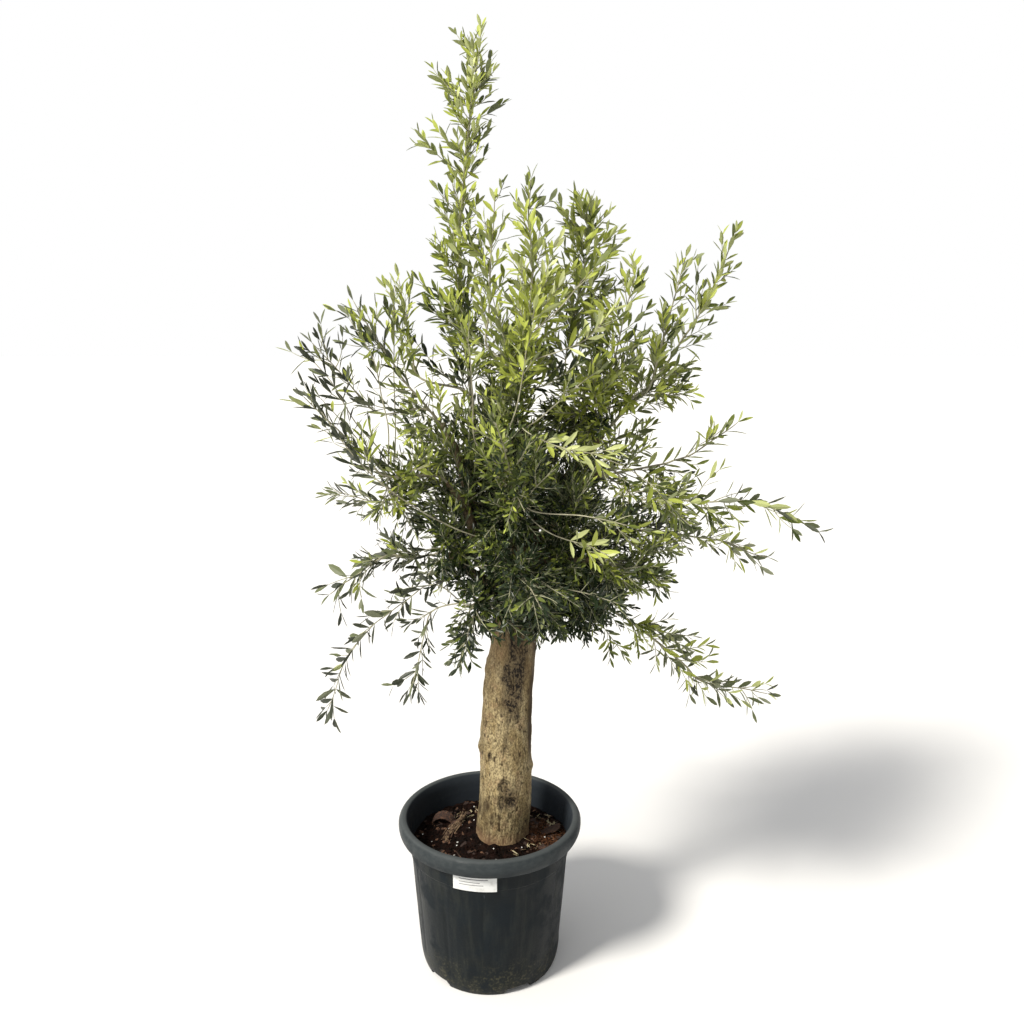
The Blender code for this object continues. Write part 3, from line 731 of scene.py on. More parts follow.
def bark_slab(place, heading, length, width, curl, lift):
    """A curled flake of bark as a closed shell: a sheet that is an arc across its width, rising evenly
    along its length, with a ragged outline, given thickness towards its hollow side. Rings run round the
    sheet's section."""
    rows, half = 26, 12
    along = np.linspace(-1.0, 1.0, rows)[:, None]
    across = np.linspace(-1.0, 1.0, half)[None, :]
    both = np.concatenate([across, across[:, ::-1]], axis=1)
    thick = np.repeat([0.0, SLAB_THICKNESS], half)[None, :]
    ragged = 1.0 + 0.16 * rough(stacked(along * 4, both * 0, along * 0), 1.0, 21)
    outline = np.sqrt(np.clip(1.0 - np.abs(along) ** 3, 0.03, 1.0)) * ragged
    angle = both * curl * outline
    radius = width / curl
    x = np.broadcast_to(along * length, angle.shape)
    y = (radius - thick) * np.sin(angle)
    z = (radius - thick) * np.cos(angle) - radius + lift * (along * 0.5 + 0.5)
    z = z + 0.0007 * rough(stacked(x * 0.35, y, z), 0.003, 22)
    c, s = math.cos(heading), math.sin(heading)
    grid = stacked(place[0] + c * x - s * y, place[1] + s * x + c * y, place[2] + z)[:, ::-1]
    return capped(grid), skin(rows, 2 * half)


# %% Lay the curled pieces
slab_bark, tree, shader, rust = two_tone("slab_bark", 0.8, (0.050, 0.019, 0.010),
                                         (0.135, 0.062, 0.032), 0.016, detail=3.0)
fibre = mask_from(tree, grain_group, Size=0.0035, Detail=7.0, Low=0.38, High=0.64)
tree.links.new(blend_colour(tree, fibre, (0.022, 0.011, 0.007), rust), shader.inputs["Base Color"])
add_relief(tree, shader, [(fibre, 0.8, 0.0012)])
# Each slab: place, heading, half length, half width, how far it curls, rise along its length, height over
# the bed.
SLABS = [(-0.120, 0.078, -1.75, 0.012, 0.052, 1.60, -0.008, 0.031),
         (-0.088, 0.050, -2.25, 0.010, 0.030, 1.50, -0.006, 0.017),
         (0.150, 0.020, 0.55, 0.030, 0.014, 0.8, 0.006, 0.007),
         (0.135, -0.060, -0.35, 0.026, 0.012, 0.9, 0.004, 0.007)]
for number, (x, y, heading, length, width, curl, lift, rise) in enumerate(SLABS):
    level = float(soil_height(np.array(x), np.array(y))) + rise
    slab_points, slab_faces = bark_slab((x, y, level), heading, length, width, curl, lift)
    add_piece(f"bark_slab_{number + 1}", slab_points, slab_faces, [slab_bark])

# %% Loose fibres of bark
# They run in a loose band from the larger slab towards the front, higher at its start.
FIBRE_START, FIBRE_END = np.array([-0.070, 0.085]), np.array([-0.108, -0.004])
FIBRES = 110
bast, _, _, _ = two_tone("bark_fibre", 0.8, (0.045, 0.020, 0.011), (0.21, 0.142, 0.080), 0.008)
share = draw.uniform(0.0, 1.0, FIBRES)
spots = FIBRE_START + share[:, None] * (FIBRE_END - FIBRE_START)
spots += draw.normal(0.0, 1.0, (FIBRES, 2)) * (0.0035 + 0.0045 * share[:, None])
heaped = 0.003 + 0.016 * (1 - share) * draw.uniform(0.2, 1.0, FIBRES)
places = np.column_stack([spots, soil_height(spots[:, 0], spots[:, 1]) + heaped])
run_way = unit(np.append(FIBRE_END - FIBRE_START, -0.020) + draw.normal(0.0, 0.020, (FIBRES, 3)))
level_way = unit(np.cross([0.0, 0.0, 1.0], run_way))
frames = np.stack([run_way, level_way, np.cross(run_way, level_way)], axis=1)
sizes = half_sizes(FIBRES, draw, (0.010, 0.024), (0.0006, 0.0016), (0.0004, 0.0008))
scatter("soil_bark_fibres", places, sizes, frames, 0.2, bast)


# %% [markdown]
# ## The trunk
# The trunk is a smooth grown column with fine upright cracks, a few old pruning wounds that have rolled a
# lip of bark round themselves, a long torn patch that was scorched dark, and a lumpy head where it was cut
# back. Its skin is a grid over turn and height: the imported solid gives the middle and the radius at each
# level, and sums of noise and small bumps push the skin in or out.
# %% Paths and bark helpers
def smooth_path(points, count):
    """A curve through the points, cut at count even distances: between two points runs a cubic whose slopes
    are the differences across their neighbours. Columns past the third, such as a radius, ride along."""
    points = np.asarray(points, dtype=float)
    run = np.concatenate([[0.0], np.cumsum(np.linalg.norm(np.diff(points[:, :3], axis=0), axis=1))])
    slope = np.gradient(points, run, axis=0)
    at = np.linspace(0.0, run[-1], count)
    i = np.clip(np.searchsorted(run, at, side="right") - 1, 0, len(run) - 2)
    span = (run[i + 1] - run[i])[:, None]
    t = (at - run[i])[:, None] / span
    return ((2 * t ** 3 - 3 * t ** 2 + 1) * points[i] + (t ** 3 - 2 * t ** 2 + t) * span * slope[i]
            + (3 * t ** 2 - 2 * t ** 3) * points[i + 1] + (t ** 3 - t ** 2) * span * slope[i + 1])


def path_length(points):
    """The sum of the straight runs between a path's points."""
    return float(np.linalg.norm(np.diff(points[:, :3], axis=0), axis=1).sum())


def bark(local, scale, seed):
    """Bark over a limb unrolled to (round, round, along): returns its height in metres and how hollow each
    point is. Cracks run where a stretched noise passes through zero, and two finer noises give the
    grain."""
    plates = rough(local, np.array([0.0085, 0.0085, 0.026]) * scale, seed)
    grain = rough(local, np.array([0.0042, 0.0042, 0.015]) * scale, seed + 1)
    fine = rough(local, np.array([0.0032, 0.0032, 0.0080]) * scale, seed + 2)
    cracks = np.exp(-(plates / 0.10) ** 2)
    height = scale * (0.0006 * grain + 0.0004 * fine - 0.0007 * cracks)
    hollow = np.clip(0.22 + 0.40 * cracks - 0.35 * grain - 0.40 * fine, 0.0, 1.0)
    return height, hollow


# %% Trunk stations
TRUNK_COLUMNS = 224
TRUNK_ROWS = 380
levels = [trunk_points[np.abs(trunk_points[:, 2] - z) < 1e-4] for z in np.unique(trunk_points[:, 2].round(4))]
levels = [ring for ring in levels if len(ring) > 8]
centres = np.array([ring.mean(axis=0) for ring in levels])
girths = [np.linalg.norm(ring[:, :2] - centre[:2], axis=1).mean() for ring, centre in zip(levels, centres)]
stations = np.column_stack([centres, girths])
trunk_line = smooth_path(stations, TRUNK_ROWS)
cap = np.linspace(1.0, 0.08, 12)[1:]
cap_line = np.column_stack([np.repeat(trunk_line[-1:, :3], len(cap), axis=0), trunk_line[-1, 3] * cap])
cap_line[:, 2] += 0.003 * (1 - cap)
trunk_line = np.concatenate([trunk_line, cap_line])
print("trunk levels:", len(stations), "rows:", len(trunk_line))

# %% Turns and levels on the trunk
FRONT = -math.pi / 2
BOUGHS = [name for name in nodes if name.startswith("bough_")]
trunk_turn = round_turns(TRUNK_COLUMNS)[None, :]
middle, level, girth = trunk_line[:, None, :2], trunk_line[:, None, 2], trunk_line[:, None, 3]
round_x, round_y = np.cos(trunk_turn), np.sin(trunk_turn)
unrolled = stacked(girth * round_x, girth * round_y, level)


def spot_distance(turn_at, level_at, half_width, half_height):
    """Distance on the trunk from a spot, where 1 is the edge of an oval of the given half sizes."""
    arc = ((trunk_turn - turn_at + math.pi) % (2 * math.pi) - math.pi) * girth
    return np.hypot(arc / half_width, (level - level_at) / half_height)


def mottle(across, along, seed):
    """Noise over the trunk's skin with cells of the given size across it and along it."""
    return rough(unrolled, np.array([across, across, along]), seed)


# %% Trunk relief
bark_height, hollow = bark(unrolled, 1.0, 31)
push = bark_height + 0.0026 * mottle(0.05, 0.11, 34) + 0.0012 * mottle(0.02, 0.035, 35)
flare = 1 - eased(level, SOIL_TOP, SOIL_TOP + 0.06)
push = push + 0.0040 * flare * mottle(0.03, 0.2, 36) - 0.0028 * flare

# %% Wounds
# Each wound is an oval: turn, level, half width, half height, height of its rolled lip and depth of its
# middle. Its scar value, which darkens the bark, rises towards the middle and has two rings on top.
WOUNDS = [(FRONT - 0.05, 0.478, 0.016, 0.023, 0.0022, 0.0032),
          (FRONT + 0.20, 0.436, 0.017, 0.020, 0.0018, 0.0046),
          (FRONT - 0.14, 0.438, 0.010, 0.026, 0.0010, 0.0034),
          (FRONT - 0.62, 0.552, 0.006, 0.011, 0.0012, 0.0035),
          (FRONT + 0.03, 0.575, 0.006, 0.008, 0.0008, 0.0020),
          (FRONT + 2.10, 0.640, 0.017, 0.024, 0.0030, 0.0040),
          (FRONT + 3.60, 0.500, 0.014, 0.020, 0.0026, 0.0035),
          (FRONT + 4.40, 0.760, 0.012, 0.020, 0.0026, 0.0030)]
DEEPEST = 0.0045
scar = np.zeros_like(push)
for turn_at, level_at, half_width, half_height, lip, sink in WOUNDS:
    away = spot_distance(turn_at, level_at, half_width, half_height) * (1 + 0.18 * mottle(0.012, 0.012, 37))
    push = push + lip * np.exp(-((away - 1.05) / 0.22) ** 2) - sink * (1 - eased(away, 0.35, 0.95))
    rings = 0.60 * np.exp(-((away - 0.90) / 0.10) ** 2) + 0.45 * np.exp(-((away - 0.55) / 0.07) ** 2)
    scar = np.maximum(scar, sink / DEEPEST * (1 - eased(away, 0.50, 1.05)) + rings)
stain = spot_distance(FRONT + 0.06, 0.450, 0.027, 0.046) * (1 + 0.35 * mottle(0.010, 0.020, 45))
scar = np.maximum(scar, (1 - eased(stain, 0.45, 1.10)) * (0.62 + 0.40 * mottle(0.010, 0.010, 46)))
torn = spot_distance(FRONT + 0.20, 0.765, 0.028, 0.150) * (1 + 0.30 * mottle(0.014, 0.03, 38))
push = push - 0.0016 * (1 - eased(torn, 0.75, 1.05)) * (0.6 + 0.8 * mottle(0.009, 0.009, 39))
scar = np.maximum(scar, (1 - eased(torn, 0.72, 1.20)) * (0.88 + 0.50 * mottle(0.011, 0.011, 40)))

# %% Burrs and painted side shade
# Each burr: turn, level, how far it swells and its size.
BURRS = [(math.pi, 0.556, 0.0050, 0.011), (-0.04, 0.506, 0.0045, 0.010),
         (0.9, 0.80, 0.004, 0.02), (2.4, 0.45, 0.005, 0.018)]
for turn_at, level_at, swell, size in BURRS:
    push = push + swell * np.exp(-spot_distance(turn_at, level_at, size, size * 1.2) ** 2)
# Painted shade: the right side of the trunk, away from the key light, is darkened, most of all above the
# middle. A darker patch low on the left front is added to it, and both go into the stored hollow value that
# darkens the bark.
painted_shade_and_low_patch = eased(np.cos(trunk_turn - 0.10), 0.45, 0.88) * (0.80 + 0.5 * mottle(0.02, 0.06, 43))
painted_shade_and_low_patch = painted_shade_and_low_patch * (0.32 + 0.68 * eased(level, 0.43, 0.61))
lower_side = eased(-np.cos(trunk_turn - 0.45), 0.25, 0.80) * (1 - eased(level, 0.42, 0.54))
painted_shade_and_low_patch = np.maximum(painted_shade_and_low_patch, lower_side * (0.60 + 0.4 * mottle(0.010, 0.025, 44)))
hollow = np.maximum(hollow, 0.85 * np.clip(painted_shade_and_low_patch, 0.0, 1.0))

# %% Head
# The head is lumpy, and swells a little where each bough springs from it.
head = eased(level, 0.93, 0.99)
push = push + head * 0.0050 * mottle(0.022, 0.022, 41) + head * 0.002 * mottle(0.009, 0.009, 42)
head_middle = stations[-1, :2]
for name in BOUGHS:
    bough = node_points(name)
    start = bough[np.argsort(np.linalg.norm(bough[:, :2] - head_middle, axis=1))[:8]].mean(axis=0)
    turn_at = math.atan2(start[1] - head_middle[1], start[0] - head_middle[0])
    push = push + 0.0060 * np.exp(-spot_distance(turn_at, start[2], 0.020, 0.022) ** 2)
below_cap = (np.arange(len(trunk_line)) < len(trunk_line) - len(cap))[:, None]
push = np.where(below_cap, push, push * girth / girth[-len(cap) - 1])
wide = girth + push
trunk_grid = stacked(middle[..., 0] + wide * round_x, middle[..., 1] + wide * round_y, level)
trunk_skin_points = np.concatenate([trunk_grid.reshape(-1, 3), trunk_line[[0, -1], :3]])


# %% [markdown]
# Olive bark is tan to grey, darker in every crack. The cracks' depth and the wounds' darkness were worked
# out with the relief, so they are stored as numbers on the points and the colour follows the shape exactly.
# The side away from the lamp is painted darker as shade, most of all above the middle, with a darker patch
# low on the left front, and the bark under the crown is painted darker as the crown's shadow; the stored
# hollow values carry this side shade along with the cracks. The foot, kept damp by the compost, is redder.
# Where a wound or the torn patch is scorched, a fine crackle lets some brown show through.
# %% Bark material
def make_bark(name, pale, mid, dark, speckle):
    """Bark whose colour follows the stored hollow and scar values, with patches and speckle from the
    groups."""
    material, tree, shader = start_material(name, mid, 0.85)
    hollow_and_shade_value = stored(tree, "hollow")
    scar_value = stored(tree, "scar")
    patches = mask_from(tree, grain_group, Size=0.035, Stretch=2.2, Detail=5.0, Low=0.40, High=0.62)
    specks = mask_from(tree, grain_group, Size=0.0034, Stretch=1.5, Detail=6.0, Low=0.42, High=0.60)
    fissures = mask_from(tree, grain_group, Size=0.0042, Stretch=7.0, Detail=4.0, Low=0.54, High=0.66)
    rosy = mask_from(tree, grain_group, Size=0.028, Stretch=1.2, Detail=3.0, Low=0.52, High=0.66)
    colour = blend_colour(tree, patches, mid, pale)
    colour = blend_colour(tree, scaled(tree, rosy, 0.35), colour, (0.32, 0.19, 0.11))
    colour = blend_colour(tree, scaled(tree, fissures, 0.55), colour, dark)
    colour = blend_colour(tree, scaled(tree, specks, speckle), colour, dark)
    # The stored hollow value darkens the cracks and, on the trunk, also paints the side shade.
    colour = blend_colour(tree, smooth_range(tree, hollow_and_shade_value, 0.30, 0.85), colour, dark)
    damp = mask_from(tree, height_group, Low=SOIL_TOP + 0.060, High=SOIL_TOP + 0.022)
    colour = blend_colour(tree, scaled(tree, damp, 0.45), colour, (0.25, 0.135, 0.080))
    crackle = mask_from(tree, grain_group, Size=0.0046, Stretch=1.4, Detail=3.0, Low=0.45, High=0.56)
    burnt = blend_colour(tree, crackle, (0.012, 0.008, 0.005), (0.125, 0.092, 0.051))
    burnt = blend_colour(tree, scaled(tree, fissures, 0.9), burnt, (0.008, 0.006, 0.004))
    # Painted shadow of the crown: the bark darkens from 0.60 m up, over the top of the trunk and all of the
    # boughs.
    shaded = mask_from(tree, height_group, Low=0.60, High=0.88)
    colour = blend_colour(tree, scaled(tree, shaded, 0.60), colour, (0.105, 0.066, 0.034))
    colour = blend_colour(tree, scar_value, colour, burnt)
    tree.links.new(colour, shader.inputs["Base Color"])
    tree.links.new(smooth_range(tree, patches, 0.0, 1.0, 0.90, 0.72), shader.inputs["Roughness"])
    shader.inputs["Specular IOR Level"].default_value = 0.25
    add_relief(tree, shader, [(patches, 0.2, 0.002), (specks, 0.55, 0.0011)])
    return material


# %% Trunk skin
trunk_bark = make_bark("trunk_bark", (0.45, 0.362, 0.195), (0.295, 0.222, 0.106), (0.050, 0.033, 0.015), 0.60)
trunk = add_piece("trunk_skin", trunk_skin_points, skin(len(trunk_line), TRUNK_COLUMNS), [trunk_bark])
add_values(trunk, "hollow", np.append(hollow.ravel(), [0, 0]))
add_values(trunk, "scar", np.append(np.clip(scar, 0, 1).ravel(), [0, 0]))
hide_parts("trunk")


# %% [markdown]
# ## The boughs
# The boughs are the first limbs out of the cut head. Each packed bough gives a middle line and a girth: its
# points are averaged in windows that slide along its longest direction. A ring is carried along that line,
# with the same bark at a smaller scale, and runs on a little way into the head so that the joint is closed.
# %% Middle line of a solid
def middle_line(points, count):
    """Windowed means along the points' longest direction, moved so that the first and last reach the ends;
    the fourth column is the mean distance of the window's points from the line."""
    centre = points.mean(axis=0)
    longest = np.linalg.svd(points - centre)[2][0]
    along = (points - centre) @ longest
    stations = np.linspace(along.min(), along.max(), count)
    window = (along.max() - along.min()) / (count - 1) * 0.9
    share = np.exp(-((along[None, :] - stations[:, None]) / window) ** 2)
    share /= share.sum(axis=1, keepdims=True)
    line = share @ points
    line += (stations - (line - centre) @ longest)[:, None] * longest
    away = points[None] - line[:, None]
    away -= (away @ longest)[..., None] * longest
    return np.column_stack([line, (share * np.linalg.norm(away, axis=-1)).sum(axis=1)])


# %% Tube along a path
def ring_frames(path):
    """The way ahead at each point of a path and two directions across it, of which the first is nearly
    square to the plane that the path bends in."""
    step = unit(np.gradient(path[..., :3], axis=-2))
    square = np.cross(step[..., :1, :], step[..., -1:, :])
    square = square + 0.05 * np.cross(step[..., :1, :], [0.31, 0.77, 0.55])
    across = unit(square - (square * step).sum(axis=-1, keepdims=True) * step)
    return step, across, np.cross(step, across)


def tube(path, sides):
    """Points of a tube: rings round (x, y, z, radius) stations, then a pole at each end. Works on one path
    or on a stack of paths of equal length."""
    _, across, upright = ring_frames(path)
    angle = round_turns(sides)[:, None]
    ring = np.cos(angle) * across[..., None, :] + np.sin(angle) * upright[..., None, :]
    ring = path[..., None, :3] + ring * path[..., None, 3:4]
    ring = ring.reshape(*path.shape[:-2], -1, 3)
    return np.concatenate([ring, path[..., :1, :3], path[..., -1:, :3]], axis=-2)


# %% Bough lines
ROW_STEP = 0.0022
BOUGH_ROOT = 0.020
THINNEST_BOUGH = 0.0045
limb_bark = make_bark("limb_bark", (0.34, 0.30, 0.20), (0.23, 0.19, 0.115), (0.085, 0.065, 0.042), 0.35)
in_head = np.array([*head_middle, stations[-1, 2] - 0.045])


def bough_line(name):
    """A bough's middle line from inside the head outwards: the root runs on into the head, and the girth
    falls in two straight runs from its thickest."""
    line = middle_line(node_points(name), 9)
    if np.linalg.norm(line[0, :3] - in_head) > np.linalg.norm(line[-1, :3] - in_head):
        line = line[::-1]
    inward = (in_head - line[0, :3]) * [1, 1, 0.4]
    root_point = line[0, :3] + inward / np.linalg.norm(inward) * BOUGH_ROOT
    line = np.concatenate([[[*root_point, line[0, 3] * 1.1]], line])
    rows = int(path_length(line) / ROW_STEP)
    line = smooth_path(line, rows)
    girths = [line[:, 3].max(), line[int(rows * 0.2), 3], max(THINNEST_BOUGH, line[-1, 3] * 0.8)]
    line[:, 3] = np.interp(np.linspace(0, 1, rows), [0, 0.12, 1], girths)
    return line


# %% Bough skins
# Bark at a smaller scale lies on each ring, with low ridges every 55 mm where leaves once stood.
BOUGH_SIDES = 28
RIDGE_PITCH, RIDGE_HEIGHT = 0.055, 0.0016
bough_lines = {}
for number, name in enumerate(BOUGHS):
    line = bough_line(name)
    wander = rough(line[:, :3], 0.045, 50 + number)[:, None] * 0.002
    line[:, :3] += wander * np.array([0.6, 0.7, 0.3])
    bough_lines[name] = line
    _, across, upright = ring_frames(line)
    angle = round_turns(BOUGH_SIDES)[None, :]
    run = np.arange(len(line))[:, None] * ROW_STEP + number
    local = stacked(line[:, 3:] * np.cos(angle), line[:, 3:] * np.sin(angle), run)
    lift, bough_hollow = bark(local, 0.6, 60 + number)
    lift = lift + line[:, 3:] * 0.10 * rough(local, np.array([0.012, 0.012, 0.02]), 80 + number)
    lift = lift + RIDGE_HEIGHT * np.exp(-((run - number) % RIDGE_PITCH / 0.006 - 1) ** 2)
    ring = np.cos(angle)[..., None] * across[:, None] + np.sin(angle)[..., None] * upright[:, None]
    ring = line[:, None, :3] + ring * (line[:, 3:, None] + lift[..., None])
    bough_points = np.concatenate([ring.reshape(-1, 3), line[[0, -1], :3]])
    piece = add_piece(name + "_bark", bough_points, skin(len(line), BOUGH_SIDES), [limb_bark])
    add_values(piece, "hollow", np.append(bough_hollow.ravel(), [0, 0]))
    add_values(piece, "scar", np.zeros(len(bough_points)))
    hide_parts(name)


# %% [markdown]
# ## How the crown grows
# An olive shoot is a slender rod with leaves in opposite pairs, each pair turned a quarter round from the
# last, and side shoots spring from the same places. The crown is grown by that rule in three orders.
# Leading shoots follow the middle of each packed mass, and each starts on the wood already grown that is
# nearest to it, so every shoot goes back to a bough. The rule could be left to wander on its own, but then
# the outline would be lost.
# %% Lines through the masses
STEP = 0.012
FORK_BACK = 0.035
LEAF_ROOM = 0.024
LEADER_BARE, STEM_BARE = 0.35, 0.60
HEART = np.array([0.11, -0.03, 1.12])
MASSES = [name for name in nodes if name not in ("pot", "soil", "label", "trunk") and name not in BOUGHS]


def outward_line(name):
    """A mass's middle line, from its end nearer the heart of the crown, and short of its far end by a
    leaf."""
    line = middle_line(node_points(name), 8)[:, :3]
    if np.linalg.norm(line[0] - HEART) > np.linalg.norm(line[-1] - HEART):
        line = line[::-1].copy()
    last_run = line[-2] - line[-1]
    line[-1] += last_run * min(0.9, LEAF_ROOM / np.linalg.norm(last_run))
    return line


mass_line = {name: outward_line(name) for name in MASSES}


# %% The next mass to reach
def closest_start(grown, waiting):
    """The waiting mass whose inner end is cheapest to reach from a grown path: (cost, gap, mass, path,
    point). The cost is the gap, made up to nearly three times as long where the mass would turn back on the
    path."""
    best = None
    for number, path in enumerate(grown):
        ahead = ring_frames(path["line"])[0]
        for name in waiting:
            line = mass_line[name]
            turned = 1.0 - ahead @ unit(line[3] - line[0])
            gaps = np.linalg.norm(path["line"] - line[0], axis=1)
            costs = gaps * (1.0 + 0.9 * turned) + 0.02 * turned
            at = int(costs.argmin())
            if best is None or costs[at] < best[0]:
                best = (costs[at], gaps[at], name, number, at)
    return best


# %% Grow the leading shoots
# A mass in line with the end of a path carries that path on; any other starts a new path a little way back
# from the nearest wood, so that the fork leaves at a slant.
grown = []
for name in BOUGHS:
    line = smooth_path(bough_lines[name][::5], int(path_length(bough_lines[name]) / STEP) + 1)
    grown.append({"line": line[:, :3], "girth": line[:, 3], "home": None, "open": True})
waiting = list(MASSES)
while waiting:
    _, gap, name, number, at = closest_start(grown, waiting)
    line = mass_line[name]
    waiting.remove(name)
    parent = grown[number]
    last = len(parent["line"]) - 1
    home = MASSES.index(name)
    carries_on = parent["open"] and at >= last - 3
    if carries_on and parent["home"] is not None:
        route = np.concatenate([parent["line"][-3:-1], line[1:]])
        more = smooth_path(route, max(4, int(path_length(route) / STEP)))
        parent["line"] = np.concatenate([parent["line"][:-3], more])
        parent["home"] = np.concatenate([parent["home"][:-3], np.full(len(more), home)])
        continue
    back = 2 if carries_on else int((0.6 * gap + FORK_BACK) / STEP)
    at = max(1, min(at, last) - back)
    leave = parent["line"][at]
    ahead = parent["line"][min(at + 1, last)] - parent["line"][at - 1]
    ahead /= np.linalg.norm(ahead)
    reach = np.linalg.norm(line[0] - leave)
    lead_in = [leave, leave + ahead * max(0.012, 0.22 * reach)]
    route = np.concatenate([lead_in, line[1 if reach < 0.10 else 0:]])
    made = smooth_path(route, max(6, int(path_length(route) / STEP)))
    parent["open"] = parent["open"] and not carries_on
    grown.append({"line": made, "home": np.full(len(made), home), "parent": (number, at), "open": True})
for path in grown:
    path["bare"] = LEADER_BARE
leading = [path for path in grown if path["home"] is not None]
metres = sum(path_length(path["line"]) for path in leading)
print("leading shoots:", len(leading), "metres:", round(metres, 2))


# %% [markdown]
# A few long stems lie outside the masses' middles, pale and bare for more than half their length: some
# cross the dark heart, and some run up through the front of the crown. Each goes through its own marked
# places, and starts on the wood that lies most nearly straight behind it.
# %% Long bare stems
LONG_STEMS = [
    [(0.092, -0.26, 1.198), (0.201, -0.32, 1.196), (0.329, -0.36, 1.177)],
    [(0.130, -0.24, 1.149), (0.203, -0.30, 1.131), (0.242, -0.34, 1.121)],
    [(0.072, -0.20, 1.040), (0.118, -0.25, 1.022), (0.146, -0.28, 1.001)],
    [(0.163, -0.20, 1.013), (0.228, -0.26, 1.014), (0.276, -0.30, 1.011)],
    [(0.040, -0.22, 1.266), (0.061, -0.28, 1.237), (0.083, -0.32, 1.206)],
    [(0.068, -0.22, 1.193), (0.100, -0.28, 1.249), (0.142, -0.33, 1.293)],
    [(-0.023, -0.18, 1.057), (0.008, -0.22, 1.068), (0.036, -0.26, 1.074)],
    [(0.240, -0.20, 1.288), (0.317, -0.26, 1.264), (0.418, -0.30, 1.173)],
    [(0.091, -0.28, 1.362), (0.141, -0.34, 1.342), (0.231, -0.38, 1.328)],
    [(-0.018, -0.16, 1.310), (-0.028, -0.20, 1.435), (-0.040, -0.20, 1.542), (-0.074, -0.16, 1.617)],
    [(0.038, -0.20, 1.303), (0.067, -0.24, 1.410), (0.081, -0.24, 1.485), (0.099, -0.22, 1.622)],
    [(0.105, -0.18, 1.562), (0.162, -0.22, 1.620), (0.217, -0.20, 1.683), (0.259, -0.16, 1.728)],
    [(0.088, -0.20, 1.497), (0.144, -0.24, 1.519), (0.200, -0.24, 1.541), (0.260, -0.20, 1.597)],
    [(0.113, -0.20, 1.377), (0.174, -0.22, 1.437), (0.237, -0.20, 1.476)],
    [(-0.072, -0.18, 1.141), (-0.195, -0.24, 1.236), (-0.307, -0.22, 1.350), (-0.359, -0.20, 1.418)],
    [(-0.215, -0.10, 1.238), (-0.216, -0.14, 1.370), (-0.238, -0.14, 1.498), (-0.290, -0.12, 1.586)],
    [(-0.210, -0.02, 1.310), (-0.210, -0.02, 1.514), (-0.205, 0.00, 1.657)],
    [(-0.241, -0.06, 1.293), (-0.288, -0.08, 1.352), (-0.336, -0.08, 1.436), (-0.399, -0.06, 1.511)]]


# %% Where the long stems spring
def straight_back(places, ways, wood):
    """For each place the wood point that lies most nearly straight behind it, as seen along the given way.
    The cost is the distance, up to five times as long at the wrong side, and too much for wood that is too
    near."""
    chord = places[:, None] - wood[None]
    distance = np.linalg.norm(chord, axis=-1)
    along = (chord * ways[:, None]).sum(axis=-1) / np.maximum(distance, 1e-6)
    return (distance * (1 + 2.0 * (1 - along)) + 1.0 * (distance < 0.05)).argmin(axis=1)


owners = np.repeat(np.arange(len(grown)), [len(path["line"]) for path in grown])
places_on = np.concatenate([np.arange(len(path["line"])) for path in grown])
wood = np.concatenate([path["line"] for path in grown])
stem_starts = np.array([stem[0] for stem in LONG_STEMS])
stem_ways = np.array([stem[1] for stem in LONG_STEMS]) - stem_starts
springs = straight_back(stem_starts, unit(stem_ways), wood)
for stem, spring in zip(LONG_STEMS, springs):
    route = np.array([wood[spring], *stem])
    line = smooth_path(route, int(path_length(route) / STEP))
    parent = (owners[spring], places_on[spring])
    leading.append({"line": line, "home": None, "parent": parent, "bare": STEM_BARE})

# %% Leading shoot girths
# Girths are radii. A shoot starts thinner than its parent is there, thicker the longer it is, and thins to
# its tip.
TIP_GIRTH, STEM_GIRTH = 0.0009, 0.0016
WAVE_SIZE, WAVE_DEPTH = 0.09, 0.005
for path in leading:
    run = np.arange(len(path["line"])) * STEP
    wave = stacked(*[rough(path["line"] + 7.0 * axis, WAVE_SIZE, 72 + axis) for axis in range(3)])
    path["line"] = path["line"] + wave * WAVE_DEPTH * eased(run, 0.0, 0.08)[:, None]
    number, at = path["parent"]
    room = grown[number]["girth"][min(at, len(grown[number]["girth"]) - 1)] * 0.88
    start = min(room, 0.0013 + 0.0052 * run[-1], STEM_GIRTH if path["bare"] == STEM_BARE else room)
    path["girth"] = TIP_GIRTH + (start - TIP_GIRTH) * (1 - run / run[-1]) ** 0.85

# %% Leading shoot tubes
def joined_tubes(stacks, sides):
    """All the tubes of several stacks of paths as one set of points and faces."""
    points, quads, fans, first = [], [], [], 0
    for stack in stacks:
        rings = stack.shape[-2]
        made = tube(stack, sides).reshape(-1, rings * sides + 2, 3)
        quad, fan = skin(rings, sides)
        step = first + np.arange(len(made))[:, None, None] * made.shape[1]
        quads.append((quad[None] + step).reshape(-1, 4))
        fans.append((fan[None] + step).reshape(-1, 3))
        points.append(made.reshape(-1, 3))
        first += made.shape[0] * made.shape[1]
    return np.concatenate(points), [np.concatenate(quads), np.concatenate(fans)]


# %% Shoot bark and the leading shoots
def make_shoot_bark(name, old, young, size):
    """Thin bark: patches of older grey and younger green, flecked with pale pores."""
    material, tree, shader = start_material(name, old, 0.7)
    ageing = mask_from(tree, grain_group, Size=size, Detail=3.0, Low=0.40, High=0.60)
    specks = mask_from(tree, grain_group, Size=0.002, Stretch=2.0, Detail=3.0, Low=0.45, High=0.65)
    colour = blend_colour(tree, ageing, old, young)
    tree.links.new(blend_colour(tree, scaled(tree, specks, 0.3), colour, tuple(0.5 * c for c in old)),
                   shader.inputs["Base Color"])
    add_relief(tree, shader, [(specks, 0.3, 0.0004)])
    return material


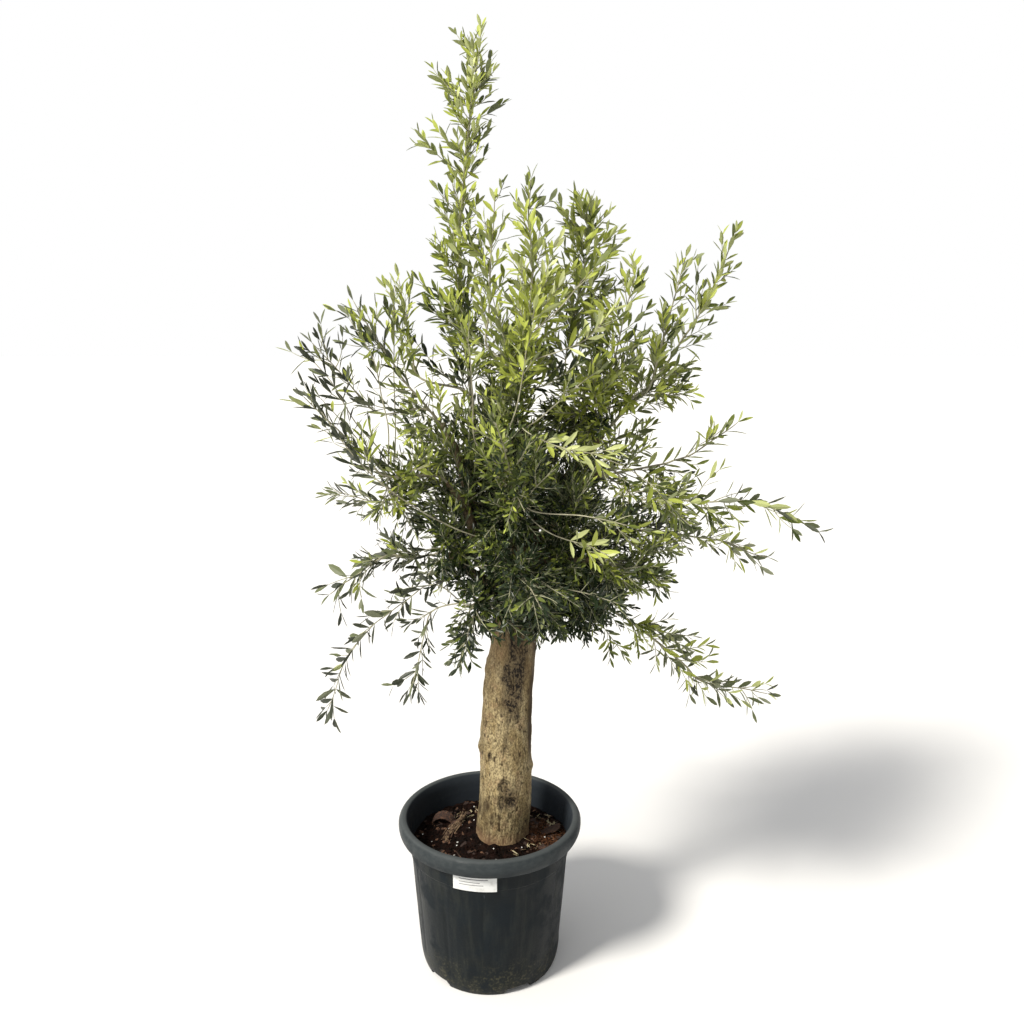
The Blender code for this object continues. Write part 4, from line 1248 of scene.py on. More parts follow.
leader_bark = make_shoot_bark("leader_bark", (0.24, 0.22, 0.15), (0.40, 0.38, 0.26), 0.05)
shoot_bark = make_shoot_bark("shoot_bark", (0.27, 0.26, 0.18), (0.42, 0.42, 0.26), 0.04)
leader_stacks = [np.column_stack([path["line"], path["girth"]])[None] for path in leading]
leader_points, leader_faces = joined_tubes(leader_stacks, 9)
leaders = add_piece("leading_shoots", leader_points, leader_faces, [leader_bark])
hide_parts(*MASSES)


# %% [markdown]
# ## Side shoots
# Side shoots leave a leading shoot in pairs. How far each may grow is measured, not guessed: a ray is cast
# from its start to the wall of the mass that the leader runs through, and the shoot stops about there. The
# longer ones bear small shoots of their own. Each is a parabola from a start, a control point ahead and an
# end, and all of one order are worked out together.
# %% Distance to the wall of a mass
def mass_triangles(name):
    """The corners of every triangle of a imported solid."""
    mesh = nodes[name].data
    mesh.calc_loop_triangles()
    flat = np.empty(len(mesh.vertices) * 3)
    mesh.vertices.foreach_get("co", flat)
    corner = np.empty(len(mesh.loop_triangles) * 3, dtype=np.int32)
    mesh.loop_triangles.foreach_get("vertices", corner)
    return flat.reshape(-1, 3)[corner].reshape(-1, 3, 3)


def wall_distance(places, aims, triangles):
    """How far a ray from each place goes before it last leaves the closed set of triangles; 0 if it meets
    none. A ray meets a triangle where its line crosses the plane inside all three edges."""
    edge_a = triangles[:, 1] - triangles[:, 0]
    edge_b = triangles[:, 2] - triangles[:, 0]
    cross = np.cross(aims[:, None], edge_b[None])
    scale = (cross * edge_a).sum(axis=-1)
    scale = np.where(np.abs(scale) < 1e-12, 1e-12, scale)
    offset = places[:, None] - triangles[None, :, 0]
    share_a = (cross * offset).sum(axis=-1) / scale
    turned = np.cross(offset, edge_a[None])
    share_b = (turned * aims[:, None]).sum(axis=-1) / scale
    far = (turned * edge_b).sum(axis=-1) / scale
    meets = (share_a >= 0) & (share_b >= 0) & (share_a + share_b <= 1) & (far > 0)
    return np.where(meets, far, 0.0).max(axis=1)


triangles_of = [mass_triangles(name) for name in MASSES]


# %% Where the crown is close and where it is thin
# Each thin place: its middle and its size.
SPARSE_PLACES = [(0.54, -0.10, 1.26, 0.11), (0.66, -0.22, 1.15, 0.12), (0.66, -0.05, 0.70, 0.09),
                 (-0.32, -0.02, 0.72, 0.18), (-0.40, -0.12, 1.45, 0.18), (-0.33, -0.14, 0.98, 0.12),
                 (0.64, 0.06, 0.99, 0.09), (-0.06, 0.00, 1.86, 0.11)]


# %% Crowding and sparseness
def crowding(places):
    """1 at the heart of the crown, easing to 0 at the outer sprays; the crown is taller than it is wide."""
    away = np.linalg.norm((places - HEART) / [1.0, 1.0, 1.25], axis=-1)
    return 1.0 - eased(away, 0.10, 0.52)


def bell(places, middle, size):
    """1 at the middle, falling off evenly all round with the square of the distance over the size."""
    return np.exp(-(np.linalg.norm(places - np.array(middle), axis=-1) / size) ** 2)


def sparseness(places):
    """1 at the middles of the thin long sprays, falling off as a bell over each one's own size."""
    return np.max([bell(places, place[:3], place[3]) for place in SPARSE_PLACES], axis=0)


def parabola(starts, controls, ends, count):
    """Points along each parabola that leaves its start towards its control point and comes into its end
    from it."""
    t = np.linspace(0.0, 1.0, count)[:, None]
    return ((1 - t) ** 2 * starts[:, None] + 2 * t * (1 - t) * controls[:, None] + t ** 2 * ends[:, None])


# %% Sizes of side shoots
CLOSE_SPACING, WIDE_SPACING = 0.023, 0.066
PAIRS_KEPT = 0.80
SHORTEST_SHOOT, LONGEST_SHOOT = 0.022, 0.19
WALL_MARGIN = 0.010
shoot_draw = np.random.default_rng(85)

# %% First-order side shoots
# On each path: the spots where pairs may leave, the turn and lean of each shoot, the room it has, and how
# far it reaches and curls in it.
starts, controls, ends = [], [], []
for number, path in enumerate(grown + leading[-len(LONG_STEMS):]):
    line = path["line"]
    on_bough, on_stem = path["home"] is None, path["bare"] == STEM_BARE
    length = (len(line) - 1) * STEP
    ahead, across, upright = ring_frames(line)
    at, spots = 0.65 * length if on_stem else 0.040, []
    while at < length - 0.015:
        spots.append(at)
        crowd = float(crowding(line[int(at / STEP)]))
        gap = WIDE_SPACING * (1 + 0.9 * float(sparseness(line[int(at / STEP)])))
        at += (gap + (CLOSE_SPACING - gap) * crowd) * shoot_draw.uniform(0.7, 1.3)
    spots = np.repeat(spots, 2)
    keep = shoot_draw.uniform(0, 1, len(spots)) < PAIRS_KEPT
    turn_at = np.arange(len(spots)) // 2 * math.pi / 2 + np.arange(len(spots)) % 2 * math.pi
    turn_at = (turn_at + shoot_draw.normal(0.0, 0.35, len(spots)) + number)[keep]
    spots = spots[keep]
    index = np.clip((spots / STEP).astype(int), 0, len(line) - 1)
    lean = np.radians(shoot_draw.uniform(28, 55, len(spots)))[:, None]
    round_way = np.cos(turn_at)[:, None] * across[index] + np.sin(turn_at)[:, None] * upright[index]
    aim = np.cos(lean) * ahead[index] + np.sin(lean) * round_way
    rise = np.clip(ahead[:, 2].mean() * 1.8, -0.8, 1.0)
    room = shoot_draw.uniform(0.08, 0.18, len(spots)) * (0.45 if on_stem else 1.0)
    for home in [] if on_bough else np.unique(path["home"]):
        own = path["home"][index] == home
        room[own] = wall_distance(line[index[own]], aim[own], triangles_of[home])
    room = np.where(room < 0.02, 0.03, room)
    reach = room * shoot_draw.uniform(0.75, 1.0, len(spots)) - WALL_MARGIN
    reach = np.clip(reach, SHORTEST_SHOOT, LONGEST_SHOOT)
    reach = np.minimum(reach, 0.025 + 0.95 * (length - spots) + 0.2 * (on_bough and not on_stem))[:, None]
    curl = unit(0.55 * ahead[index] + np.array([0.0, 0.0, 0.85]) * rise
                + 0.40 * shoot_draw.normal(0.0, 1.0, (len(spots), 3)))
    starts.append(line[index])
    controls.append(line[index] + 0.5 * reach * aim)
    ends.append(line[index] + reach * (0.93 * aim + 0.26 * curl))
print("random side shoots:", sum(map(len, starts)))


# %% [markdown]
# Chance alone would lose the tips that give this tree its outline, so those are marked one by one, region
# by region. A marked tip looks for the grown wood it would most likely come from: near, and with the wood
# leaving at about thirty degrees. Between the marked tips the crown is filled at random, inside flattened
# balls.
# %% Marked tips
MARKED_TIPS = {
    "leader": [(-0.13, 0.02, 2.13), (-0.10, 0.05, 2.12), (0.03, -0.03, 2.11), (0.02, 0.03, 2.15),
               (0.05, 0.00, 2.05), (-0.16, -0.02, 1.99), (-0.13, 0.05, 2.02), (0.01, 0.00, 1.94),
               (-0.01, -0.05, 1.94), (0.04, 0.03, 1.89), (-0.12, -0.02, 1.87), (-0.12, 0.04, 1.84),
               (-0.06, 0.02, 2.19), (-0.03, -0.03, 2.18), (-0.09, -0.04, 1.92), (-0.01, -0.05, 2.00),
               (-0.08, -0.05, 1.77), (-0.03, -0.05, 2.12), (-0.07, -0.05, 2.06), (-0.02, 0.05, 2.09)],
    "centre": [(0.05, -0.08, 1.84), (0.08, -0.12, 1.82), (0.15, -0.02, 1.84), (0.19, 0.03, 1.85),
               (0.23, 0.05, 1.85), (0.25, 0.08, 1.83), (0.29, 0.10, 1.83), (0.29, 0.02, 1.77),
               (0.12, -0.12, 1.78), (0.09, -0.14, 1.76), (0.01, -0.05, 1.80), (-0.02, -0.04, 1.75),
               (0.04, -0.12, 1.73), (0.17, -0.08, 1.76), (0.32, 0.00, 1.72), (0.35, -0.02, 1.68),
               (0.27, -0.08, 1.64), (0.22, -0.05, 1.73), (-0.02, 0.05, 1.70), (0.07, -0.18, 1.70),
               (0.14, -0.16, 1.70), (0.11, -0.20, 1.64)],
    "wing": [(0.54, 0.12, 1.79), (0.54, 0.06, 1.71), (0.58, 0.12, 1.62), (0.52, 0.08, 1.53),
             (0.43, 0.04, 1.71), (0.40, -0.02, 1.61), (0.38, -0.05, 1.61), (0.47, 0.02, 1.42),
             (0.50, 0.10, 1.67), (0.52, 0.05, 1.65), (0.53, -0.10, 1.36), (0.50, -0.08, 1.33),
             (0.36, -0.08, 1.56), (0.44, 0.04, 1.56), (0.33, -0.12, 1.50)],
    "right": [(0.44, -0.20, 1.15), (0.63, 0.05, 1.04), (0.67, 0.08, 0.97), (0.68, -0.22, 1.16),
              (0.55, -0.20, 1.23), (0.59, -0.18, 1.20), (0.64, -0.22, 1.17), (0.46, -0.15, 1.26),
              (0.37, -0.24, 1.19), (0.60, 0.08, 0.98), (0.55, 0.02, 1.07)],
    "low_right": [(0.67, -0.05, 0.74), (0.63, -0.05, 0.65), (0.57, -0.05, 0.74), (0.53, -0.05, 0.79),
                  (0.47, -0.05, 0.69), (0.35, -0.10, 0.82), (0.40, -0.20, 0.99), (0.38, -0.20, 1.03),
                  (0.52, -0.04, 0.68)],
    "shoulder": [(-0.19, 0.05, 1.65), (-0.24, 0.10, 1.66), (-0.34, -0.10, 1.60), (-0.26, -0.10, 1.61),
                 (-0.24, -0.05, 1.62), (-0.36, -0.06, 1.59), (-0.36, -0.10, 1.55), (-0.41, -0.06, 1.52),
                 (-0.40, -0.10, 1.45), (-0.37, -0.18, 1.41), (-0.31, -0.15, 1.53), (-0.26, -0.18, 1.54),
                 (-0.15, 0.00, 1.62), (-0.11, -0.05, 1.60), (-0.32, -0.02, 1.56), (-0.33, -0.12, 1.47)],
    "left": [(-0.40, 0.10, 1.16), (-0.33, 0.05, 1.19), (-0.37, 0.08, 1.13), (-0.33, -0.10, 1.28),
             (-0.30, -0.18, 1.33), (-0.33, -0.18, 1.37), (-0.32, 0.00, 1.24), (-0.27, -0.10, 1.14)],
    "low_left": [(-0.31, -0.20, 0.94), (-0.28, -0.18, 1.03), (-0.27, -0.15, 1.06), (-0.39, 0.08, 0.57),
                 (-0.40, 0.08, 0.66), (-0.23, -0.14, 0.76), (-0.15, -0.14, 0.73), (-0.19, -0.12, 0.90),
                 (-0.34, 0.06, 0.80), (-0.27, -0.20, 0.97), (-0.37, 0.08, 0.72), (-0.31, -0.05, 1.04)]}

# %% Where a tip springs from
# The wood is gathered again, because the leading shoots have bent in waves since the stems were placed.
wood = np.concatenate([path["line"] for path in grown])
wood_ahead = np.concatenate([ring_frames(path["line"])[0] for path in grown])
FORK_LEAN = math.radians(30)


def springing_points(tips):
    """For each tip the grown point with the least cost: distance, made longer the further the chord leans
    from thirty degrees off the wood there."""
    chord = tips[:, None] - wood[None]
    distance = np.linalg.norm(chord, axis=-1)
    lean = np.arccos(np.clip((chord * wood_ahead).sum(axis=-1) / np.maximum(distance, 1e-6), -1, 1))
    cost = distance * (1 + 1.6 * (1 - np.cos(lean - FORK_LEAN))) + 1.0 * (distance < 0.055)
    pick = cost.argmin(axis=1)
    return wood[pick], wood_ahead[pick]


# %% Shoots to the marked and the filling tips
# Each fill: centre, radii and how many tips.
FILLS = [((0.11, -0.08, 1.50), (0.18, 0.17, 0.22), 85), ((0.12, -0.06, 0.95), (0.18, 0.17, 0.10), 124),
         ((0.07, -0.18, 1.06), (0.17, 0.08, 0.11), 60), ((0.08, -0.12, 0.90), (0.19, 0.10, 0.05), 12),
         ((0.40, -0.08, 0.84), (0.14, 0.08, 0.07), 6),
         ((0.37, 0.04, 1.43), (0.12, 0.12, 0.10), 24), ((0.33, -0.08, 1.12), (0.15, 0.17, 0.15), 50),
         ((-0.12, -0.08, 1.17), (0.13, 0.17, 0.18), 48), ((-0.08, 0.00, 1.72), (0.08, 0.08, 0.22), 44),
         ((-0.05, 0.00, 2.08), (0.07, 0.06, 0.12), 16), ((0.22, 0.04, 1.73), (0.10, 0.07, 0.13), 36),
         ((-0.25, -0.07, 1.37), (0.11, 0.09, 0.13), 8), ((0.47, -0.17, 1.20), (0.10, 0.06, 0.09), 11),
         ((0.12, -0.05, 1.33), (0.05, 0.08, 0.05), 16), ((0.14, -0.18, 1.21), (0.06, 0.05, 0.06), 20),
         ((0.23, -0.10, 1.33), (0.05, 0.06, 0.05), 10)]
fill_tips = []
for centre, radii, count in FILLS:
    ball = unit(shoot_draw.normal(0, 1, (count, 3))) * shoot_draw.uniform(0.15, 1, (count, 1)) ** 0.4
    fill_tips.append(np.array(centre) + ball * radii)
TIP_LEAF = 0.020
marked = np.array([tip for tips in MARKED_TIPS.values() for tip in tips])
spring, _ = springing_points(marked)
marked -= TIP_LEAF * unit(marked - spring)
marked = np.concatenate([marked] + fill_tips)
spring, spring_ahead = springing_points(marked)
reach = np.linalg.norm(marked - spring, axis=1, keepdims=True)
bow = np.where(marked[:, 2:] > 1.1, -0.30, 0.30)
starts.append(spring)
controls.append(spring + 0.5 * reach * unit((marked - spring) / reach + bow * spring_ahead))
ends.append(marked)
first_starts, first_controls, first_ends = map(np.concatenate, (starts, controls, ends))
first_lengths = np.linalg.norm(first_ends - first_starts, axis=1)
first_sprays = np.arange(len(first_starts))
first_bare = 0.012 + 0.25 * first_lengths * crowding(first_ends)
print("first-order shoots:", len(first_starts), "metres:", round(float(first_lengths.sum()), 1),
      "longest marked:", round(float(reach.max()), 2), "mean:", round(float(reach.mean()), 2))

# %% Second-order side shoots
# A first-order shoot may bear one small shoot at each of its nodes, with a chance that rises with its
# length and towards the heart. The small ones are shorter the nearer the tip they spring.
NODES_ALONG, FIRST_NODE, NODE_GAP = 8, 0.14, 0.098
SHORTEST_BEARER, LONGEST_SMALL = 0.060, 0.080
starts, controls, ends, sprays = [], [], [], []
for node in range(NODES_ALONG):
    u = FIRST_NODE + NODE_GAP * node + shoot_draw.uniform(-0.03, 0.03, len(first_starts))
    chance = first_lengths / 0.20 * (0.06 + 1.45 * crowding(first_ends))
    chosen = (first_lengths > SHORTEST_BEARER) & (shoot_draw.uniform(0, 1, len(u)) < chance)
    u, a, b, c = u[chosen, None], first_starts[chosen], first_controls[chosen], first_ends[chosen]
    start = (1 - u) ** 2 * a + 2 * u * (1 - u) * b + u ** 2 * c
    ahead = unit((1 - u) * (b - a) + u * (c - b))
    side = unit(np.cross(ahead, unit(shoot_draw.normal(0, 1, (len(a), 3)))))
    lean = np.radians(shoot_draw.uniform(32, 55, len(a)))[:, None]
    aim = np.cos(lean) * ahead + np.sin(lean) * side
    reach = first_lengths[chosen, None] * shoot_draw.uniform(0.30, 0.62, (len(a), 1)) * (1.15 - u)
    reach = np.clip(reach, SHORTEST_SHOOT, LONGEST_SMALL)
    curl = unit(ahead + 0.7 * shoot_draw.normal(0, 1, (len(a), 3)) + [0, 0, 0.3])
    starts.append(start)
    controls.append(start + 0.5 * reach * aim)
    ends.append(start + reach * (0.96 * aim + 0.16 * curl))
    sprays.append(first_sprays[chosen])
second_starts, second_controls, second_ends = map(np.concatenate, (starts, controls, ends))
second_sprays = np.concatenate(sprays)
second_lengths = np.linalg.norm(second_ends - second_starts, axis=1)
print("second-order shoots:", len(second_starts), "metres:", round(float(second_lengths.sum()), 1))


# %% Side shoot tubes
THICKEST_SIDE_SHOOT = 0.0030


def with_girth(curves, lengths, base, per_metre, tip):
    """Adds a girth to each point: it falls evenly from one that grows with the shoot's length to the
    tip's."""
    start = np.minimum(base + per_metre * lengths, THICKEST_SIDE_SHOOT)[:, None]
    girth = start + (tip - start) * np.linspace(0.0, 1.0, curves.shape[1])[None, :] ** 0.9
    return np.concatenate([curves, girth[..., None]], axis=-1)


first_curves = parabola(first_starts, first_controls, first_ends, 7)
second_curves = parabola(second_starts, second_controls, second_ends, 5)
tube_points, tube_faces = joined_tubes([with_girth(first_curves, first_lengths, 0.0009, 0.0050, 0.0007)], 5)
add_piece("side_shoots", tube_points, tube_faces, [shoot_bark])
tube_points, tube_faces = joined_tubes([with_girth(second_curves, second_lengths, 0.0008, 0.004, 0.0006)], 4)
add_piece("small_shoots", tube_points, tube_faces, [shoot_bark])


# %% [markdown]
# ## Leaves
# An olive leaf is a narrow blade, dull green above and paler below, folded a little along its midrib and
# curved back. Here it is a closed shell of fourteen points: three stations across the blade, each with two
# edges and a midrib above and below, and a point at each end. Each station's place follows from how far
# along the leaf it is.
# %% Places for leaves
def leaf_seats(curves, lengths, sprays, gaps, bare, draw):
    """Seats in opposite pairs along a stack of paths, each pair turned a quarter from the last, closing up
    to a small pair at the tip. Returns place, shoot direction, outward direction, distance to the tip and
    spray."""
    counts = np.maximum(1, ((lengths - bare) / gaps).astype(int) + 1)
    order_all = np.arange(counts.max())[None, :]
    back = order_all * gaps[:, None] + draw.uniform(0.0, 0.22, (len(lengths), counts.max())) * gaps[:, None]
    owner, order = np.nonzero(order_all < counts[:, None])
    back = np.minimum(back[owner, order] * (order > 0), lengths[owner] * 0.96)
    share = 1.0 - back / lengths[owner]
    position = share * (curves.shape[1] - 1)
    low = np.clip(position.astype(int), 0, curves.shape[1] - 2)
    part = (position - low)[:, None]
    place = curves[owner, low] * (1 - part) + curves[owner, low + 1] * part
    ahead, across, upright = ring_frames(curves)
    ahead, across, upright = ahead[owner, low], across[owner, low], upright[owner, low]
    first_turn = draw.uniform(0, 2 * math.pi, len(lengths))[owner]
    turn_at = first_turn + order * math.pi / 2 + draw.normal(0, 0.25, len(owner))
    outward = np.cos(turn_at)[:, None] * across + np.sin(turn_at)[:, None] * upright
    pairs = (place, place), (ahead, ahead), (outward, -outward), (back, back), (sprays[owner], sprays[owner])
    return [np.concatenate(pair) for pair in pairs]


# %% The shape of a leaf
LEAF_STATIONS = np.array([0.17, 0.52, 0.82])
LEAF_WIDTHS = np.array([0.46, 1.00, 0.70])
LEAF_LEAN, LEAN_SPREAD = 46, 10
LEAF_HALF_THICK = 0.00035


def leaf_shapes(place, ahead, outward, back, sizes, draw):
    """Fourteen points for each leaf, from its seat. It leans out from the shoot, less so at the tip and
    high up. It twists on its stalk to turn its upper face up and out of the crown and, on the outer sprays,
    forward to the light. It is widest about half way and pointed; leaves are narrower out on the left and
    broader at the top."""
    count = len(place)
    inward = crowding(place)
    near_tip = 1 - eased(back, 0.002, 0.040)
    lean = draw.normal(LEAF_LEAN, LEAN_SPREAD, count) * (1 - 0.52 * near_tip)
    lean = np.radians(lean * (1 - 0.15 * eased(place[:, 2], 1.3, 1.6)))[:, None]
    way = np.cos(lean) * ahead + np.sin(lean) * outward
    way = unit(way + draw.normal(0, 0.09, (count, 3)) + [0, 0, 0.06])
    from_axis = unit((place - HEART) * [1.0, 0.6, 0.15] + 1e-6) * (0.48 - 0.33 * inward)[:, None]
    to_light = [0, 0, 0.42] + (1 - inward)[:, None] * [-0.05, -0.30, 0]
    face = 0.6 * (np.sin(lean) * ahead - np.cos(lean) * outward) + from_axis + to_light
    face = face + draw.normal(0, 0.30, (count, 3))
    face = unit(face - (face * way).sum(axis=1, keepdims=True) * way)
    side = np.cross(face, way)
    length = sizes * draw.uniform(0.82, 1.14, count) * (1 - 0.26 * near_tip)
    width = length * (draw.uniform(0.090, 0.136, count) + 0.019 * (1 - inward))
    on_left = eased(-place[:, 0], 0.12, 0.32) * eased(place[:, 2], 1.02, 1.16)
    width = width * (1 - 0.20 * on_left + 0.14 * eased(place[:, 2], 1.70, 1.90))
    bend = draw.normal(0.07, 0.07, count)[:, None] * length[:, None]
    sway = draw.normal(0.0, 0.05, count)[:, None] * length[:, None]

    def at(t):
        """Midrib: straight ahead, falling back and swaying aside with the square of the way along."""
        return (place[:, None] + way[:, None] * (length[:, None] * t)[..., None]
                - face[:, None] * (bend * t ** 2)[..., None] + side[:, None] * (sway * t ** 2)[..., None])

    midrib = at(LEAF_STATIONS[None, :])
    half = (width[:, None] * LEAF_WIDTHS[None, :])[..., None]
    fold = draw.uniform(0.10, 0.35, count)[:, None, None]
    left = midrib + side[:, None] * half + face[:, None] * half * fold
    right = midrib - side[:, None] * half + face[:, None] * half * fold
    thick = LEAF_HALF_THICK * face[:, None]
    body = np.stack([left, right, midrib + thick, midrib - thick], axis=2).reshape(count, 12, 3)
    return np.concatenate([at(np.zeros((1, 1))), body, at(np.ones((1, 1)))], axis=1)


# %% Faces of a leaf
def leaf_faces():
    """Faces of one leaf, upper side first: four-sided faces between stations and triangles to the two
    ends."""
    left, right, top, under = (np.arange(3) * 4 + k for k in (1, 2, 3, 4))
    a, b = slice(0, 2), slice(1, 3)
    upper = np.concatenate([stacked(top[a], top[b], left[b], left[a]),
                            stacked(right[a], right[b], top[b], top[a])])
    lower = np.concatenate([stacked(under[a], left[a], left[b], under[b]),
                            stacked(right[a], under[a], under[b], right[b])])
    upper_ends = np.array([[0, 3, 1], [0, 2, 3], [13, 9, 11], [13, 11, 10]])
    lower_ends = np.array([[0, 1, 4], [0, 4, 2], [13, 12, 9], [13, 10, 12]])
    return np.concatenate([upper, lower]), np.concatenate([upper_ends, lower_ends])


# %% Leaf sizes, spray by spray
# A spray is one leading or first-order shoot with all that it bears. Leaves are long on the outer sprays
# and short near the heart, on the tall leader and over the front of the trunk; a few marked sprigs stand
# out with big leaves.
BIG_SPRIGS = np.array([(0.23, -0.38, 1.33), (0.24, -0.34, 1.12), (0.37, -0.26, 0.94),
                       (0.07, -0.18, 1.68), (0.11, -0.20, 1.62), (0.14, -0.16, 1.68)])
FAN, FAN_REACH, SPRIG_REACH = [0.11, -0.16, 1.68], 0.085, 0.030
BIG_LEAF, OUTER_LEAF, HEART_LOSS = 0.047, 0.0450, 0.0215
leaf_draw = np.random.default_rng(97)
even_lines = np.stack([smooth_path(path["line"], 64) for path in leading])
spray_tips = np.concatenate([first_ends, even_lines[:, -1]])
spray_crowding, spray_sparseness = crowding(spray_tips), sparseness(spray_tips)
low_left = eased(-spray_tips[:, 0], 0.15, 0.25) * eased(-spray_tips[:, 2], -1.05, -0.95)
in_front = eased(-spray_tips[:, 1], 0.20, 0.36) * (1 - eased(np.abs(spray_tips[:, 0] - 0.05), 0.20, 0.34))
on_leader = eased(spray_tips[:, 2], 1.66, 1.80) * (spray_tips[:, 0] < 0.06)
# Each share below is in metres of leaf length.
spray_size = OUTER_LEAF - HEART_LOSS * spray_crowding + leaf_draw.normal(0, 0.002, len(spray_tips))
spray_size += 0.007 * low_left + 0.004 * spray_sparseness - 0.013 * in_front - 0.0075 * on_leader
near_sprig = np.linalg.norm(spray_tips[:, None] - BIG_SPRIGS[None], axis=-1).min(axis=1) < SPRIG_REACH
near_fan = np.linalg.norm(spray_tips - FAN, axis=-1) < FAN_REACH
spray_size = np.where(near_sprig | near_fan, BIG_LEAF, spray_size)
spray_gap = spray_size * (0.43 - 0.08 * spray_crowding + 0.24 * spray_sparseness)

# %% Grow the leaves
leader_lengths = np.array([path_length(path["line"]) for path in leading])
leader_bare = np.array([path["bare"] for path in leading]) * leader_lengths
leader_sprays = len(first_starts) + np.arange(len(leading))
small_bare = np.full(len(second_starts), 0.008)
first_fine = parabola(first_starts, first_controls, first_ends, 13)
second_fine = parabola(second_starts, second_controls, second_ends, 9)
seats = [leaf_seats(curves, lengths, sprays, spray_gap[sprays] * closer, bare, leaf_draw)
         for curves, lengths, sprays, closer, bare in [
             (even_lines, leader_lengths, leader_sprays, 1.05, leader_bare),
             (first_fine, first_lengths, first_sprays, 1.0, first_bare),
             (second_fine, second_lengths, second_sprays, 0.95, small_bare)]]
seat_place, seat_ahead, seat_outward, seat_back, seat_spray = map(np.concatenate, zip(*seats))
leaf_points = leaf_shapes(seat_place, seat_ahead, seat_outward, seat_back, spray_size[seat_spray], leaf_draw)
print("leaves:", len(leaf_points), "triangles:", 24 * len(leaf_points))


# %% [markdown]
# The colour is dealt out by spray: each spray is given one of six greens, and most of its leaves take it.
# Young growth on the right is brighter and yellower, sprays higher up are brighter, partly as young growth
# and partly as painted sunlight, and sprays near the heart are darker as painted shade.
# Long sprays out on the left, and low ones to either side of the trunk, are duller: there a grey-green takes
# the place of the middle and dark ones, while the skirt in front of the trunk stays green. A leaf's colour
# is plain, so its shell has two materials and no pattern.
# %% Leaf colours
# Upper and under side of each; the first six run from bright to dark, and the last two are the grey-greens.
LEAF_COLOURS = {
    "pale": ((0.54, 0.58, 0.25), (0.57, 0.60, 0.34)),
    "fresh": ((0.375, 0.425, 0.075), (0.42, 0.46, 0.19)),
    "sunny": ((0.235, 0.275, 0.044), (0.29, 0.32, 0.135)),
    "green": ((0.120, 0.150, 0.028), (0.18, 0.205, 0.098)),
    "deep": ((0.052, 0.070, 0.017), (0.100, 0.115, 0.062)),
    "shade": ((0.016, 0.027, 0.010), (0.038, 0.050, 0.029)),
    "dull": ((0.112, 0.130, 0.060), (0.19, 0.205, 0.135)),
    "dusk": ((0.033, 0.040, 0.024), (0.075, 0.084, 0.058))}
DULLED = np.array([0, 1, 6, 6, 7, 7])
# Each place: its middle, its size and how many steps brighter it makes the sprays there.
# Some places mark pale young sprigs; others lighten or darken a region of the crown, partly as painted light
# and shade.
BRIGHT_PLACES = [
    (0.11, -0.14, 1.68, 0.13, 2.2), (-0.13, -0.20, 1.29, 0.09, 1.2), (0.23, -0.38, 1.33, 0.07, 5.0),
    (0.24, -0.34, 1.12, 0.06, 4.8), (0.40, -0.04, 0.86, 0.08, 3.6), (-0.21, 0.07, 1.68, 0.07, 1.5),
    (0.50, 0.10, 1.60, 0.25, -0.6), (-0.36, -0.10, 1.45, 0.18, -0.7), (0.24, 0.05, 1.80, 0.09, 0.7),
    (-0.38, 0.00, 0.80, 0.22, -1.4), (0.12, -0.05, 0.93, 0.22, -1.2), (-0.05, 0.00, 2.05, 0.25, 0.1),
    (0.07, -0.20, 1.33, 0.16, -0.2), (0.02, -0.15, 1.22, 0.16, -0.8), (-0.04, 0.00, 1.70, 0.14, 0.3),
    (0.38, -0.02, 1.45, 0.10, 0.5), (0.50, -0.07, 0.80, 0.20, 1.1), (0.56, 0.10, 1.76, 0.10, 0.5)]

# %% Deal out the colours
MIDDLE_BRIGHTNESS = 2.42
UNDER_HEART = [0.11, -0.03, 1.03]
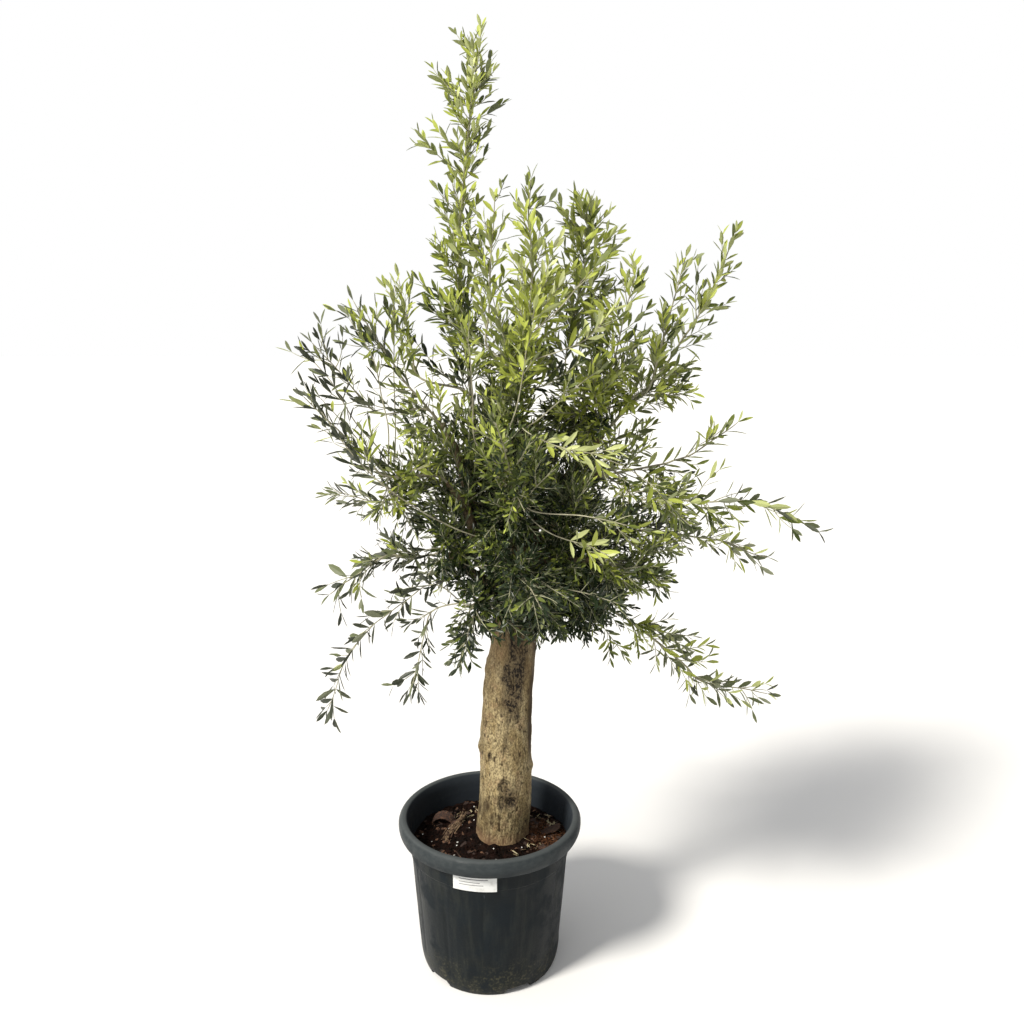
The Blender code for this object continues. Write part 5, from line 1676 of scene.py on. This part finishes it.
# Painted light and shade: sprays are brighter the higher they stand, as painted sunlight on the top of the
# crown, and darker near and under the heart, as painted shade.
painted_heart_shade = 1 - eased(np.linalg.norm(spray_tips - UNDER_HEART, axis=1), 0.10, 0.46)
brightness = MIDDLE_BRIGHTNESS + 0.8 * (spray_tips[:, 2] - 1.3) / 0.8 - 1.7 * painted_heart_shade
chance = leaf_draw.normal(0, 0.80, len(spray_tips)) * (1 - 0.5 * painted_heart_shade)
brightness += 0.25 * (spray_tips[:, 0] - 0.1) / 0.5 + chance - 1.1 * in_front
for x, y, z, size, gain in BRIGHT_PLACES:
    brightness += gain * bell(spray_tips, (x, y, z), size)
spray_colour = np.clip(np.round(5.0 - brightness), 0, 5).astype(int)
beside_trunk = eased(np.abs(spray_tips[:, 0] - 0.12), 0.20, 0.30) * eased(-spray_tips[:, 2], -1.25, -1.05)
far_left = eased(-spray_tips[:, 0], 0.22, 0.34)
dulled = (1 - spray_crowding) * np.maximum(far_left, beside_trunk) > 0.5
leaf_colour = spray_colour[seat_spray] + leaf_draw.choice([-2, -1, 0, 0, 0, 0, 1, 1], len(seat_spray))
leaf_colour = np.clip(leaf_colour, np.minimum(spray_colour[seat_spray], 1), 5)
leaf_colour = np.where(dulled[seat_spray], DULLED[leaf_colour], leaf_colour)
print("leaves of each colour:", dict(zip(LEAF_COLOURS, np.bincount(leaf_colour, minlength=8).tolist())))

# %% Leaf pieces
# A colour's leaves are cut into pieces of at most 8,000 leaves, or 192,000 triangles. Whether four-sided
# faces or ends, a leaf has four on its upper side and then four on its lower side.
MOST_LEAVES = 8000
LEAF_PAINT = [0] * 4 + [1] * 4
quads, ends = leaf_faces()


def leaf_green(name, colour, roughness, gloss):
    """One plain green with its own gloss."""
    material, _, shader = start_material(name, colour, roughness)
    shader.inputs["Specular IOR Level"].default_value = gloss
    return material


# %% Join the leaves, colour by colour
for number, (name, (upper, under)) in enumerate(LEAF_COLOURS.items()):
    inner = name in ("deep", "shade")
    greens = [leaf_green(f"leaf_{name}_upper", upper, *((0.34, 0.26) if inner else (0.42, 0.28))),
              leaf_green(f"leaf_{name}_under", under, 0.70, 0.20)]
    shells = leaf_points[leaf_colour == number]
    for part, batch in enumerate(np.array_split(shells, max(1, math.ceil(len(shells) / MOST_LEAVES)))):
        step = np.arange(len(batch))[:, None, None] * shells.shape[1]
        faces = [(quads[None] + step).reshape(-1, 4), (ends[None] + step).reshape(-1, 3)]
        paint = np.tile(LEAF_PAINT, 2 * len(batch))
        piece = add_piece(f"leaves_{name}_{part + 1}", batch.reshape(-1, 3), faces, greens,
                          paint=paint, smooth=False)
        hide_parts(*MASSES)
